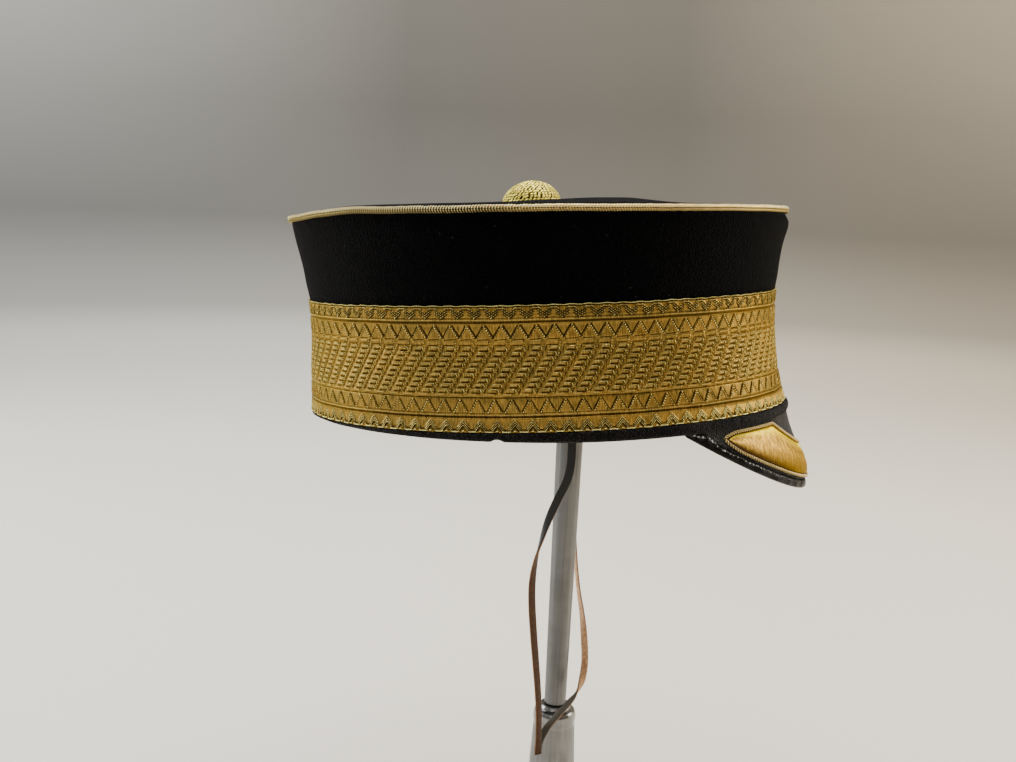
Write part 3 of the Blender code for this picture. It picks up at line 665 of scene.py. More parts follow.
# The knots' height sets the painted shade in the pits and the painted highlight on the crests.
mark(top_button, "raised", knots**PIT_DEPTH)
netting_colours = (0.006, 0.003, 0.001), (0.98, 0.80, 0.16), (0.84, 0.66, 0.11), (1.0, 0.99, 0.46)
gold_netting = gilt("gold_netting", *netting_colours)
dress(top_button, (gold_netting,))
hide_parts("top_button")
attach(top_button, "root")


# Gold lace. One band of woven gilt lace 44.5 mm wide round the lower half of the side. Its figure
# repeats about every 6 mm, raised floats and grooves drawn as strokes on a chart in millimetres. Its two
# selvedges are bright wire with a painted highlight along them, and its foot is lighter towards the peak.
LACE_REPEATS, LACE_COLUMNS, LACE_ROWS = 90, 21, 50
CHART_WIDTH, CHART_START = 5.78, -0.7
BAR_PITCH, BAR_SHIFT, BAR_ROWS = 1.82, -1.08, 9
BAR_FIRST, BAR_MIDDLE = 15.05, 0.15
CHEVRON_PITCH, CHEVRONS = 0.88, 3
FLOAT_PITCH, FLOAT_DROP, FLOAT_DIP = 0.92, 1.2, -0.7
WIRE_SHARE = 0.80
LIGHTENED_END, LIGHTENED_FADE = math.radians(82), math.radians(40)
LIGHTENED_START, LIGHTENED_SOFTENING = 39.9, 0.8
SELVEDGE, LEAST_FLOAT, ROUND_POINTS = 0.45, 0.05, 4001
WANDER, WAVER = 0.08, 0.11
SCALLOP_RISE, SCALLOP_FALL, LACE_SWELL, LACE_SINK = 0.00012, 1.6, 0.00010, 0.0002
PLAIN_STROKES = [
    # along from the scallop's crest, down, to along, to down, half width, height
    (-2.89, 0.12, 2.89, 0.12, 0.20, 0.40),
    (-2.89, 0.56, 2.89, 0.56, 0.20, -0.24),
    (-1.30, 1.02, 1.30, 1.02, 0.24, 0.28),
    (-1.20, 1.50, 1.20, 1.50, 0.20, -0.22),
    (-2.89, 4.45, 2.89, 4.45, 0.34, -0.15),
    (2.89, 4.00, 2.60, 4.65, 0.24, 0.34),
    (-2.89, 5.15, 2.89, 5.15, 0.56, 0.235),
    (-2.89, 5.90, 2.89, 5.90, 0.38, -0.24),
    (-2.89, 6.55, 2.89, 6.55, 0.36, 0.18),
    (0.10, 7.10, 2.75, 11.40, 0.40, 0.44),
    (0.72, 6.90, 3.20, 11.00, 0.22, -0.34),
    (-0.35, 7.00, -2.89, 11.40, 0.26, -0.30),
    (0.00, 7.70, -2.50, 11.80, 0.28, 0.32),
    (-2.00, 12.00, 1.60, 11.80, 0.22, -0.24),
    (-1.90, 12.90, 1.10, 12.80, 0.72, 0.22),
    (1.95, 12.20, 1.85, 13.80, 0.24, 0.38),
    (1.45, 12.30, 1.40, 13.60, 0.16, -0.24),
    (-2.30, 13.90, 1.20, 13.90, 0.22, -0.28),
    (0.20, 31.10, 2.90, 31.10, 0.62, 0.24),
    (-2.89, 32.10, 2.89, 32.10, 0.24, -0.28),
    (3.20, 33.00, 1.10, 37.20, 0.38, 0.42),
    (3.20, 33.00, 5.40, 37.20, 0.28, 0.34),
    (2.70, 33.00, 0.66, 37.00, 0.20, -0.32),
    (3.70, 32.90, 5.94, 37.00, 0.20, -0.28),
    (-2.89, 37.60, 2.89, 37.60, 0.30, -0.14),
    (-2.89, 38.25, 2.89, 38.25, 0.52, 0.235),
    (-2.89, 38.95, 2.89, 38.95, 0.36, -0.24),
    (-2.89, 39.60, 2.89, 39.60, 0.40, 0.20),
    (-0.20, 43.45, 2.20, 43.45, 0.22, -0.30),
    (-0.20, 44.15, 2.50, 44.15, 0.34, 0.46),
    (3.80, 43.90, 4.30, 43.90, 0.42, 0.44),
]
SCALLOP_STROKES = [(2.10, 0.80, 0.0, 2.55, 0.27, 0.33), (2.10, 1.22, 0.0, 2.97, 0.19, -0.34)]
ARROW_STROKES = [(2.05, 42.60, 0.0, 40.00, 0.24, 0.31), (2.05, 43.05, 0.0, 40.45, 0.26, -0.62)]
BAR_STROKES = [
    # from the bar's own middle
    (-1.15, 0.02, 0.75, 0.02, 0.60, 0.24),
    (-1.40, 0.86, 1.20, 0.86, 0.21, -0.34),
    (1.12, 0.00, 1.16, 0.35, 0.28, -0.50),
    (-1.10, -0.46, 1.10, -0.52, 0.18, 0.33),
    (-1.40, -0.30, -1.62, 0.40, 0.18, 0.32),
    (1.42, -0.40, 1.78, 0.35, 0.24, 0.44),
    (2.80, -0.85, 2.20, 0.80, 0.34, 0.31),
    (3.30, -0.75, 2.80, 0.85, 0.18, -0.26),
]


def nested(strokes):
    """The strokes of one chevron, and of the ones nested below it."""
    chevrons = []
    for fall in CHEVRON_PITCH * np.arange(CHEVRONS):
        for start, top, end, foot, width, rise in strokes:
            chevrons.append((start, top + fall, end, foot + fall, width, rise))
    return chevrons


# each figure's strokes, and where along the chart they fold over into their mirror image
LACE_FIGURES = (
    (PLAIN_STROKES, None),
    (nested(SCALLOP_STROKES), 2.89),
    (nested(ARROW_STROKES), 4.05),
)


def stroke_height(along, down, strokes):
    """Height in mm of these strokes at places of the chart: raised floats, with grooves beside them."""
    high, low = np.zeros(len(along)), np.zeros(len(along))
    for start, top, end, foot, width, rise in strokes:
        run, fall, middle = end - start, foot - top, (start + end) / 2
        near = (along - middle + CHART_WIDTH / 2) % CHART_WIDTH - CHART_WIDTH / 2 + run / 2
        reached = np.clip((near * run + (down - top) * fall) / (run * run + fall * fall), 0.0, 1.0)
        distance = np.hypot(near - reached * run, down - top - reached * fall)
        shape = rise * np.sqrt(np.clip(1.0 - (distance / width) ** 2, 0.0, 1.0))
        high, low = np.maximum(high, shape), np.minimum(low, shape)
    return np.where(high > LEAST_FLOAT, high, low)


def lace_height(along, down):
    """Height in mm of the whole woven figure at places of the chart."""
    row = np.clip(np.round((down - BAR_FIRST - BAR_MIDDLE) / BAR_PITCH), 0, BAR_ROWS - 1)
    height = stroke_height(along - BAR_SHIFT * row, down - BAR_FIRST - BAR_PITCH * row, BAR_STROKES)
    for strokes, fold in LACE_FIGURES:
        across = along
        if fold is not None:
            across = np.abs((along - fold + CHART_WIDTH / 2) % CHART_WIDTH - CHART_WIDTH / 2)
        figure = stroke_height(across, down, strokes)
        height = np.where(np.abs(figure) > np.abs(height), figure, height)
    return height


def wrapped(made, value, middle):
    """A place along the chart, moved by whole repeats to within half a repeat of this one."""
    high, low = middle + CHART_WIDTH / 2, middle - CHART_WIDTH / 2
    return node(made, "Math", {"operation": "WRAP"}, _0=value, _1=high, _2=low).outputs[0]


def vectors(made, how, **inputs):
    return node(made, "VectorMath", {"operation": how}, **inputs).outputs


def add_strokes(made, along, down, strokes, high, low):
    """The same strokes by nodes, with lines finer than the mesh, joined to what is high and low so far."""
    for start, top, end, foot, width, rise in strokes:
        run, fall = end - start, foot - top
        spot = node(made, "CombineXYZ", X=wrapped(made, along, (start + end) / 2), Y=down).outputs[0]
        spot = vectors(made, "SUBTRACT", _0=spot, _1=(start, top, 0.0))["Vector"]
        part = [step / (run * run + fall * fall) for step in (run, fall, 0.0)]
        reached = vectors(made, "DOT_PRODUCT", _0=spot, _1=part)["Value"]
        reached = node(made, "Clamp", Value=reached).outputs[0]
        nearest = vectors(made, "SCALE", _0=(run, fall, 0.0), Scale=reached)["Vector"]
        distance = vectors(made, "DISTANCE", _0=spot, _1=nearest)["Value"]
        shape = spread(made, distance, 0.0, width * WIRE_SHARE * 1.3, rise, 0.0, "SMOOTHSTEP")
        if rise > 0 and fall > FLOAT_DROP:
            turns = maths(made, "MULTIPLY", reached, math.tau * math.hypot(run, fall) / FLOAT_PITCH)
            dots = spread(made, maths(made, "COSINE", turns), -0.8, 0.6, FLOAT_DIP, 1.0)
            shape = maths(made, "MULTIPLY", shape, dots)
            low = maths(made, "MINIMUM", low, shape)
        if rise > 0:
            high = maths(made, "MAXIMUM", high, shape)
        else:
            low = maths(made, "MINIMUM", low, shape)
    return high, low


def woven(made):
    """How far the woven figure stands up, from 0 to 1, from the strip's own map in mm of the chart."""
    chart = node(made, "SeparateXYZ", Vector=cloth_map(made))
    along, down = chart.outputs["X"], chart.outputs["Y"]
    bar_down = maths(made, "SUBTRACT", down, BAR_FIRST)
    row = maths(made, "DIVIDE", maths(made, "SUBTRACT", bar_down, BAR_MIDDLE), BAR_PITCH)
    row = node(made, "Clamp", Value=maths(made, "ROUND", row), Max=BAR_ROWS - 1.0).outputs[0]
    bar_along = maths(made, "SUBTRACT", along, maths(made, "MULTIPLY", row, BAR_SHIFT))
    bar_down = maths(made, "SUBTRACT", bar_down, maths(made, "MULTIPLY", row, BAR_PITCH))
    high, low = add_strokes(made, bar_along, bar_down, BAR_STROKES, 0.0, 0.0)
    for strokes, fold in LACE_FIGURES:
        across = along
        if fold is not None:
            across = wrapped(made, maths(made, "SUBTRACT", along, fold), 0.0)
            across = maths(made, "ABSOLUTE", across)
        high, low = add_strokes(made, across, down, strokes, high, low)
    low = maths(made, "MULTIPLY", low, spread(made, high, 0.02, 0.12, 1.0, 0.0))
    return spread(made, maths(made, "ADD", high, low), -0.30, 0.37)


rounds = np.linspace(-math.pi, math.pi, ROUND_POINTS)
loop = oval(np.full(ROUND_POINTS, BAND_HEIGHT / 2), rounds)
round_lengths = run_along(loop[:, :2])
lace_length = round_lengths[-1]

lace_colours = (0.014, 0.007, 0.001), (0.285, 0.170, 0.034), (0.228, 0.148, 0.034), (1.0, 0.83, 0.30)
gold_lace = gilt("gold_lace", *lace_colours, woven, 0.0006)
lace_width = BAND_HEIGHT * 1000
for name, top, foot, crowding in (
    # where the strip starts and ends on the chart, and how its rows crowd towards its start
    ("lace_upper_border", 0.0, 14.4, 1.25),
    ("lace_bar_field", 14.4, 30.0, 1.0),
    ("lace_lower_border", 44.5, 30.0, 1.25),
):
    section = LACE_ROWS + 2
    strip = ring(name, LACE_REPEATS * LACE_COLUMNS, section)
    turn, step = ring_places(strip, section)
    along = (turn / math.tau + 0.5) * lace_length
    bearing = np.interp(along, round_lengths, rounds)
    down = top + (foot - top) * np.clip(step / (LACE_ROWS - 1), 0.0, 1.0) ** crowding
    down = np.where(step == LACE_ROWS, foot, np.where(step == LACE_ROWS + 1, top, down))
    back = step >= LACE_ROWS
    wander = WANDER * ripple(41, 6, bearing * 8, down * 0.10)
    chart_along = CHART_START - along / lace_length * LACE_REPEATS * CHART_WIDTH + wander
    chart_down = down + WAVER * ripple(42, 6, bearing * 26)
    relief = lace_height(chart_along, chart_down)
    scallop = SCALLOP_RISE * np.cos(math.tau * chart_along / CHART_WIDTH)
    scallop = scallop * np.clip(1 - down / SCALLOP_FALL, 0, 1)
    swell = LACE_SWELL * ripple(43, 6, bearing * 40, down * 0.5)
    outset = np.where(back, -LACE_THICKNESS, relief / 1000 - LACE_SINK + swell)
    height = BAND_HEIGHT - down / 1000 + scallop
    put(strip, on_head(oval(height, bearing, outset)))
    face_out(strip)
    lay_uv(strip, chart_along, chart_down, LACE_REPEATS * CHART_WIDTH)
    # Lightened along both selvedges as a painted highlight, and along the foot towards the peak.
    by_peak = np.clip((LIGHTENED_END - np.abs(bearing)) / LIGHTENED_FADE, 0.0, 1.0)
    by_peak = by_peak * np.clip((down - LIGHTENED_START) / LIGHTENED_SOFTENING, 0.0, 1.0)
    from_edge = np.minimum(down, lace_width - down)
    mark(strip, "lightened", np.maximum(by_peak, np.clip(1.0 - from_edge / SELVEDGE, 0.0, 1.0)))
    dress(strip, (gold_lace,))
    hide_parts("lace_band")
    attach(strip, "root")


def drawn_out(made, where, scales, detail):
    """Noise stretched along one way of a map, for threads and streaks."""
    stretched = node(made, "Mapping", Vector=where, Scale=scales).outputs["Vector"]
    return noise(made, 1.0, detail, stretched)


thread = drawn_out(gold_lace, cloth_map(gold_lace), (2.9, 0.32, 1.0), 2.0)
lightened = marked(gold_lace, "lightened")
thread_light = spread(gold_lace, thread, 0.32, 0.68, 0.5, 1.5)
# A painted highlight along the selvedges, and a lighter foot towards the peak.
lightened_value = spread(gold_lace, lightened, 0.0, 1.0, 1.0, 1.7)
lightened_saturation = spread(gold_lace, lightened, 0.0, 1.0, 1.0, 1.04)
light = maths(gold_lace, "MULTIPLY", thread_light, lightened_value)
shaded = node(gold_lace, "HueSaturation", Value=light, Saturation=lightened_saturation, Color=colour_of(gold_lace))
colour_by(gold_lace, shaded.outputs["Color"])
bump(gold_lace, thread, 0.00014, 0.7)


# Base welt. A strip of the black cloth folded round the cap's lower edge, full at the peak and thin at
# the back. It is worn, with one small nick in its lower edge, and its two ends meet by the peak.
WELT_HEIGHT, WELT_PROUD, WELT_FULLNESS = 0.0043, 0.0008, 0.0006
NICK_BEARING, NICK_WIDTH, NICK_DEPTH = math.radians(100.5), math.radians(1.1), 0.0008
JOINT_BEARING, JOINT_WIDTH, JOINT_DEPTH = math.radians(44.0), math.radians(0.6), 0.00035
WELT_AROUND, WELT_SIDES = 720, 20
WEAR, FINE_WEAR = 0.00010, 0.00006
WELT_TAPER = (
    # degrees from the front, share of the welt's full height
    (0, 1.00),
    (75, 1.00),
    (105, 0.74),
    (135, 0.38),
    (160, 0.16),
    (180, 0.14),
)


def squarer(wave, power):
    """A sine or cosine with fuller shoulders, for sections with flat sides and round corners."""
    return np.sign(wave) * np.abs(wave) ** power


# The welt's cloth is painted lighter than the side's, as painted light.
welt_cloth = milled_cloth("welt_cloth", (0.0050, 0.0046, 0.0046), (0.036, 0.0330, 0.0320), 0.12)
base_welt = ring("folded_welt", WELT_AROUND, WELT_SIDES)
bearing, step = ring_places(base_welt, WELT_SIDES)
turn = math.tau * step / WELT_SIDES
tall = WELT_HEIGHT * eased(WELT_TAPER, np.abs(np.degrees(bearing)), 1)
depth = WELT_PROUD + LACE_THICKNESS + FIT_GAP + CLOTH_THICKNESS
out_share = squarer(np.cos(turn), 0.6)
down_share = squarer(np.sin(turn), 0.7)
wear = WEAR * ripple(51, 7, bearing * 45) + FINE_WEAR * ripple(52, 7, bearing * 130)
joint = JOINT_DEPTH * np.exp(-(((bearing - JOINT_BEARING) / JOINT_WIDTH) ** 2))
full = WELT_FULLNESS * np.clip(np.cos(bearing), 0.0, 1.0) ** 2 * np.clip(out_share, 0.0, 1.0)
outset = WELT_PROUD * tall / WELT_HEIGHT - depth / 2 * (1.0 - out_share)
outset = outset + (wear - joint) * (out_share > 0.2) + full
nick = NICK_DEPTH * np.exp(-(((bearing - NICK_BEARING) / NICK_WIDTH) ** 4)) * (down_share < -0.3)
height = -FIT_GAP - (tall - FIT_GAP) * (0.5 - 0.5 * down_share) + nick
points = oval(np.zeros(len(bearing)), bearing, outset)
points[:, 2] = height
put(base_welt, on_head(points))
face_out(base_welt)
dress(base_welt, (welt_cloth,))
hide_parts("base_welt")
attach(base_welt, "root")


# Peak body. A steep drooping peak of curved board, covered with black cloth above and dark leather
# below, sewn in under the welt. The cloth is painted lighter than the side's, as painted light, and
# has painted shade along the binding.
PEAK_SPAN = math.radians(56)
PEAK_DROP, PEAK_END_DROP = 0.0329, 0.0041
PEAK_OUTSET, PEAK_END_SHARE = 0.0085, 0.20
PEAK_THICKNESS, BINDING_WIDTH, BINDING_PROUD = 0.0020, 0.0034, 0.0003
PEAK_TUCK, PEAK_CLOTH_SHARE, PEAK_WAVES = 0.0009, 0.985, 0.00006
PEAK_ACROSS, PEAK_DOWN = 200, 30
PEAK_SECTION = (
    # share of the drop, share of the outset
    (0.00, 0.06),
    (0.20, 0.25),
    (0.40, 0.52),
    (0.60, 0.78),
    (0.80, 0.95),
    (1.00, 1.00),
)


def peak_share(bearing):
    """1 at the middle of the peak, 0 at its ends."""
    ends = math.cos(PEAK_SPAN)
    return (np.cos(bearing) - ends) / (1.0 - ends)


def peak_drop(bearing):
    """How far below the welt the peak's free edge is."""
    return PEAK_END_DROP + (PEAK_DROP - PEAK_END_DROP) * peak_share(bearing)


def peak_point(bearing, below, outset=0.0):
    """Points of the peak's face, this far below the welt."""
    width = PEAK_END_SHARE + (1.0 - PEAK_END_SHARE) * peak_share(bearing)
    outset = outset + PEAK_OUTSET * width * eased(PEAK_SECTION, below / peak_drop(bearing), 1)
    points = oval(np.zeros(len(bearing)), bearing, outset)
    points[:, 2] = -(WELT_HEIGHT + FIT_GAP) - below
    return points


def sheet(name, across, down):
    """A flat grid, and each corner's shares from 0 to 1 across it and down it, still to be shaped."""
    bpy.ops.object.select_all(action="DESELECT")
    bpy.ops.mesh.primitive_grid_add(x_subdivisions=across, y_subdivisions=down, size=2)
    piece = named(name)
    points = corners(piece)
    return piece, (points[:, 0] + 1) / 2, (1 - points[:, 1]) / 2


def face_fore(piece):
    """Turns an open sheet's faces towards the cap's front."""
    if sum(face.normal.y * face.area for face in piece.data.polygons) > 0:
        piece.data.flip_normals()


# The peak's cloth is painted lighter than the side's, as painted light, with painted shade along the
# binding.
peak_cloth = milled_cloth("peak_cloth", (0.0120, 0.0110, 0.0095), (0.085, 0.0770, 0.0670), 0.30)
close_by = spread(peak_cloth, marked(peak_cloth, "close_by"), 0.86, 0.93)
colour_by(peak_cloth, blend(peak_cloth, close_by, colour_of(peak_cloth), (0.0015, 0.0014, 0.0013)))
peak_leather = finish_for("peak_underside", (0.012, 0.011, 0.010), 0.38)
bump(peak_leather, noise(peak_leather, 900.0, 4.0), 0.0002, 0.5)
peak_body, u, v = sheet("peak_cloth_face", PEAK_ACROSS, PEAK_DOWN)
bearing = PEAK_SPAN * PEAK_CLOTH_SHARE * (2 * u - 1)
below = (peak_drop(bearing) - BINDING_WIDTH - FIT_GAP + PEAK_TUCK) * v - PEAK_TUCK
waves = PEAK_WAVES * ripple(61, 7, bearing * 60, below * 900)
put(peak_body, on_head(peak_point(bearing, below, waves)))
face_fore(peak_body)
mark(peak_body, "close_by", v)
dress(peak_body, (peak_cloth, peak_leather), PEAK_THICKNESS)
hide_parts("peak_body")
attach(peak_body, "root")


# Peak embroidery. A padded band of gilt satin stitch along the peak, its threads laid side by side from
# the upper edge to the lower one over felt, trimmed level under the welt. Its shoulder carries a painted
# highlight, its lower edge and far ends painted shade, and one raised thread line runs down each side of
# the front.
PANEL_WIDTH, PANEL_THICKNESS, PANEL_REACH = 0.0198, 0.0008, 0.89
PAD_RISE, PANEL_LIFT = 0.0009, 0.0008
CORNER_BEARING, FRONT_FALL = math.radians(30.5), 0.0052
EDGE_CORD_DIAMETER = 0.0010
PANEL_ACROSS, PANEL_DOWN = 420, 20
THREAD_LINE_RISE, THREAD_LINE_WIDTH, THREAD_UNEVEN = 0.00035, 0.55, 0.00007
THREAD_LINE_TOP, THREAD_LINE_LEAN = 15.0, 5.0  # degrees from the front, and more at the lower edge
ROUNDING_START, ROUNDING_REACH, END_SHARE = 0.9, 0.1, 0.12
FALLEN_FORE, FALLEN_ENDS = 0.68, 0.42


def panel_edges(bearing, trim, end):
    """How far below the welt the panel starts and ends at this bearing."""
    lower = peak_drop(bearing) - BINDING_WIDTH - FIT_GAP - PANEL_LIFT - trim
    towards_front = np.clip((CORNER_BEARING - np.abs(bearing)) / CORNER_BEARING, 0.0, 1.0)
    fall = FRONT_FALL * np.sin(math.pi / 2 * towards_front)
    upper = np.maximum(FIT_GAP + trim, lower + PANEL_LIFT + 2 * trim - PANEL_WIDTH + fall)
    share = np.minimum(np.abs(bearing) / end, 1.0)
    beyond = np.maximum(0.0, (share - ROUNDING_START) / ROUNDING_REACH)
    rounding = np.maximum(np.sqrt(np.maximum(0.0, 1.0 - beyond**2)), END_SHARE)
    middle, half = (upper + lower) / 2, np.maximum(lower - upper, 0.0) / 2 * rounding
    return middle - half, middle + half


satin_crest = {"Specular Tint": (0.95, 0.74, 0.30, 1.0)}
gold_satin = finish_for("gold_satin", (0.45, 0.27, 0.08), 0.34, 1.0, satin_crest)
stitches = cloth_map(gold_satin)
fibre = drawn_out(gold_satin, stitches, (2600.0, 330.0, 1.0), 2.0)
bundle = drawn_out(gold_satin, stitches, (1000.0, 170.0, 1.0), 2.0)
satin = blend(gold_satin, spread(gold_satin, bundle, 0.3, 0.7), (0.12, 0.066, 0.026), (0.34, 0.195, 0.052))
satin = blend(gold_satin, spread(gold_satin, fibre, 0.42, 0.66), satin, (0.73, 0.45, 0.08))
fallen = marked(gold_satin, "fallen")


def ragged(share):
    """How far down the panel a stitch lies, made uneven by its fibres."""
    return maths(gold_satin, "ADD", fallen, maths(gold_satin, "MULTIPLY", fibre, share))


# A painted highlight along the shoulder, and painted shade along the lower edge and towards the far ends.
satin = blend(gold_satin, spread(gold_satin, ragged(0.2), 0.10, 0.34), (1.0, 0.79, 0.03), satin)
satin = blend(gold_satin, spread(gold_satin, ragged(0.5), 0.68, 1.20), satin, (0.050, 0.028, 0.014))
colour_by(gold_satin, satin)
bump(gold_satin, bundle, 0.0004, 0.8)
bump(gold_satin, fibre, 0.0002, 0.9)

embroidery, u, v = sheet("satin_panel", PANEL_ACROSS, PANEL_DOWN)
end = PEAK_SPAN * PANEL_REACH * 0.98
bearing = end * (2 * u - 1)
upper, lower = panel_edges(bearing, EDGE_CORD_DIAMETER + FIT_GAP, end)
pad = PANEL_THICKNESS * 0.35 + PAD_RISE * np.sin(math.pi * np.clip(v, 0.001, 0.999)) ** 0.6
pad = pad + THREAD_UNEVEN * ripple(71, 8, bearing * 220, v * 2)
from_line = (np.abs(np.degrees(bearing)) - THREAD_LINE_TOP + THREAD_LINE_LEAN * v) / THREAD_LINE_WIDTH
thread_line = THREAD_LINE_RISE * np.exp(-(from_line**2))
below = upper + (lower - upper) * v
put(embroidery, on_head(peak_point(bearing, below, FIT_GAP + pad + thread_line)))
lay_uv(embroidery, bearing * CAP_LENGTH / 2, below, 1.0)
face_fore(embroidery)
mark(embroidery, "fallen", v * (FALLEN_FORE + FALLEN_ENDS * np.abs(bearing) / end))
dress(embroidery, (gold_satin,), PANEL_THICKNESS * 0.3)
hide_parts("peak_embroidery")
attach(embroidery, "root")


# Peak edge cord. A two-ply twisted gilt cord a millimetre thick, with painted shade between its plies and
# a painted highlight on them, couched down round the whole panel.
CORD_TWIST = 0.00125
CORD_STEPS, CORD_SIDES = 1800, 10


def along_path(points, count):
    """This many evenly spread places on a closed path, with the way along it at each."""
    closed = np.vstack([points, points[:1]])
    lengths = run_along(closed)
    spread_out = np.linspace(0.0, lengths[-1], count, endpoint=False)
    places = np.column_stack([np.interp(spread_out, lengths, closed[:, axis]) for axis in range(3)])
    return places, unit(np.roll(places, -1, axis=0) - np.roll(places, 1, axis=0)), lengths[-1]


edge_cord = ring("panel_edge_cord", CORD_STEPS, CORD_SIDES)
turn, step = ring_places(edge_cord, CORD_SIDES)
cord_radius, end = EDGE_CORD_DIAMETER / 2, PEAK_SPAN * PANEL_REACH
bearing = np.linspace(-end, end, 300)
upper, lower = panel_edges(bearing, cord_radius, end)
outline = np.vstack([
    peak_point(bearing, upper, FIT_GAP + cord_radius),
    peak_point(bearing, lower, FIT_GAP + cord_radius)[::-1],
])
places, along, cord_length = along_path(outline, CORD_STEPS)
number = np.round((turn / math.tau + 0.5) * CORD_STEPS).astype(int) % CORD_STEPS
side = unit(np.cross(along, places * (1.0, 1.0, 0.0)))
out = np.cross(side, along)
angle = math.tau * step / CORD_SIDES
twists = 2 * round(cord_length / CORD_TWIST / 2)
plies = np.cos(2 * angle - math.tau * number / CORD_STEPS * twists)
radius = cord_radius * (0.94 + 0.42 * plies)
outward = out[number] * (radius * np.cos(angle))[:, None]
sideways = side[number] * (radius * np.sin(angle))[:, None]
put(edge_cord, on_head(places[number] + outward + sideways))
face_out(edge_cord)
# The plies' height sets the painted shade between them and the painted highlight on them.
mark(edge_cord, "raised", (0.5 + 0.5 * plies) ** 2.2)
cord_colours = (0.002, 0.001, 0.001), (0.62, 0.44, 0.17), (0.48, 0.33, 0.12), (1.0, 0.95, 0.66)
gold_cord = gilt("gold_cord", *cord_colours)
dress(edge_cord, (gold_cord,))
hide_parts("peak_edge_cord")
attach(edge_cord, "root")


# Peak binding. A strip of black patent leather folded round the peak's free edge and stitched through,
# glossy and a little puckered where it takes the curve. Pale painted glints run along its stitching, and
# they are fewer towards the front.
BINDING_SPAN, BINDING_TUCK = math.radians(59.4), 0.0007
BINDING_SIDES, BINDING_ROWS, BINDING_BANDS = 28, 21, 20
BINDING_PUCKER, FINE_PUCKER, EDGE_ROUNDING = 0.00018, 0.00006, 0.28

binding = drum("patent_binding", BINDING_SIDES, BINDING_ROWS, BINDING_BANDS)
spots = corners(binding)
turn, share = bearings(spots), spots[:, 2] + 0.5
bearing = BINDING_SPAN * (2 * share - 1)
edge, through = squarer(np.cos(turn), 0.6), squarer(np.sin(turn), 0.6)
drop = peak_drop(bearing)
taken = np.clip((np.abs(bearing) / PEAK_SPAN - 0.93) / 0.05, 0.0, 1.0)
width = BINDING_WIDTH + (drop + BINDING_TUCK - BINDING_WIDTH) * taken
down = drop - width * (0.5 - 0.5 * edge)
rounded = 1.0 - EDGE_ROUNDING * np.clip(edge, 0.0, 1.0) ** 2
depth = PEAK_THICKNESS + 2 * BINDING_PROUD
pucker = BINDING_PUCKER * ripple(81, 9, bearing * 80, edge * 2.5)
pucker = pucker + FINE_PUCKER * ripple(82, 9, bearing * 170, edge * 3)
outset = BINDING_PROUD - depth / 2 + depth / 2 * through * rounded + pucker * (through > 0.2)
put(binding, on_head(peak_point(bearing, down, outset)))
close_ends(binding)
face_out(binding)
mark(binding, "folded", edge)
mark(binding, "aside", np.abs(bearing) / BINDING_SPAN)
shine = {"Specular IOR Level": 0.04, "Coat Weight": 0.09, "Coat Roughness": 0.10}
patent = finish_for("patent_leather", (0.003, 0.003, 0.003), 0.45, 0.0, shine)
# Painted highlight: pale glints in patches along the stitching, fewer towards the front.
from_stitching = maths(patent, "ABSOLUTE", maths(patent, "ADD", marked(patent, "folded"), 0.45))
glint_patches = spread(patent, noise(patent, 1100.0, 2.0), 0.52, 0.62)
painted_glints = maths(patent, "MULTIPLY", spread(patent, from_stitching, 0.04, 0.30, 1.0, 0.0), glint_patches)
painted_glints = maths(patent, "MULTIPLY", painted_glints, spread(patent, marked(patent, "aside"), 0.40, 0.72, 0.12, 1.0))
colour_by(patent, blend(patent, painted_glints, (0.0015, 0.0015, 0.0015), (0.62, 0.62, 0.60)))
bump(patent, noise(patent, 260.0, 3.0), 0.0013, 0.7)
bump(patent, noise(patent, 900.0, 2.0), 0.0003, 0.6)
dress(binding, (patent,))
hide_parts("peak_binding")
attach(binding, "root")


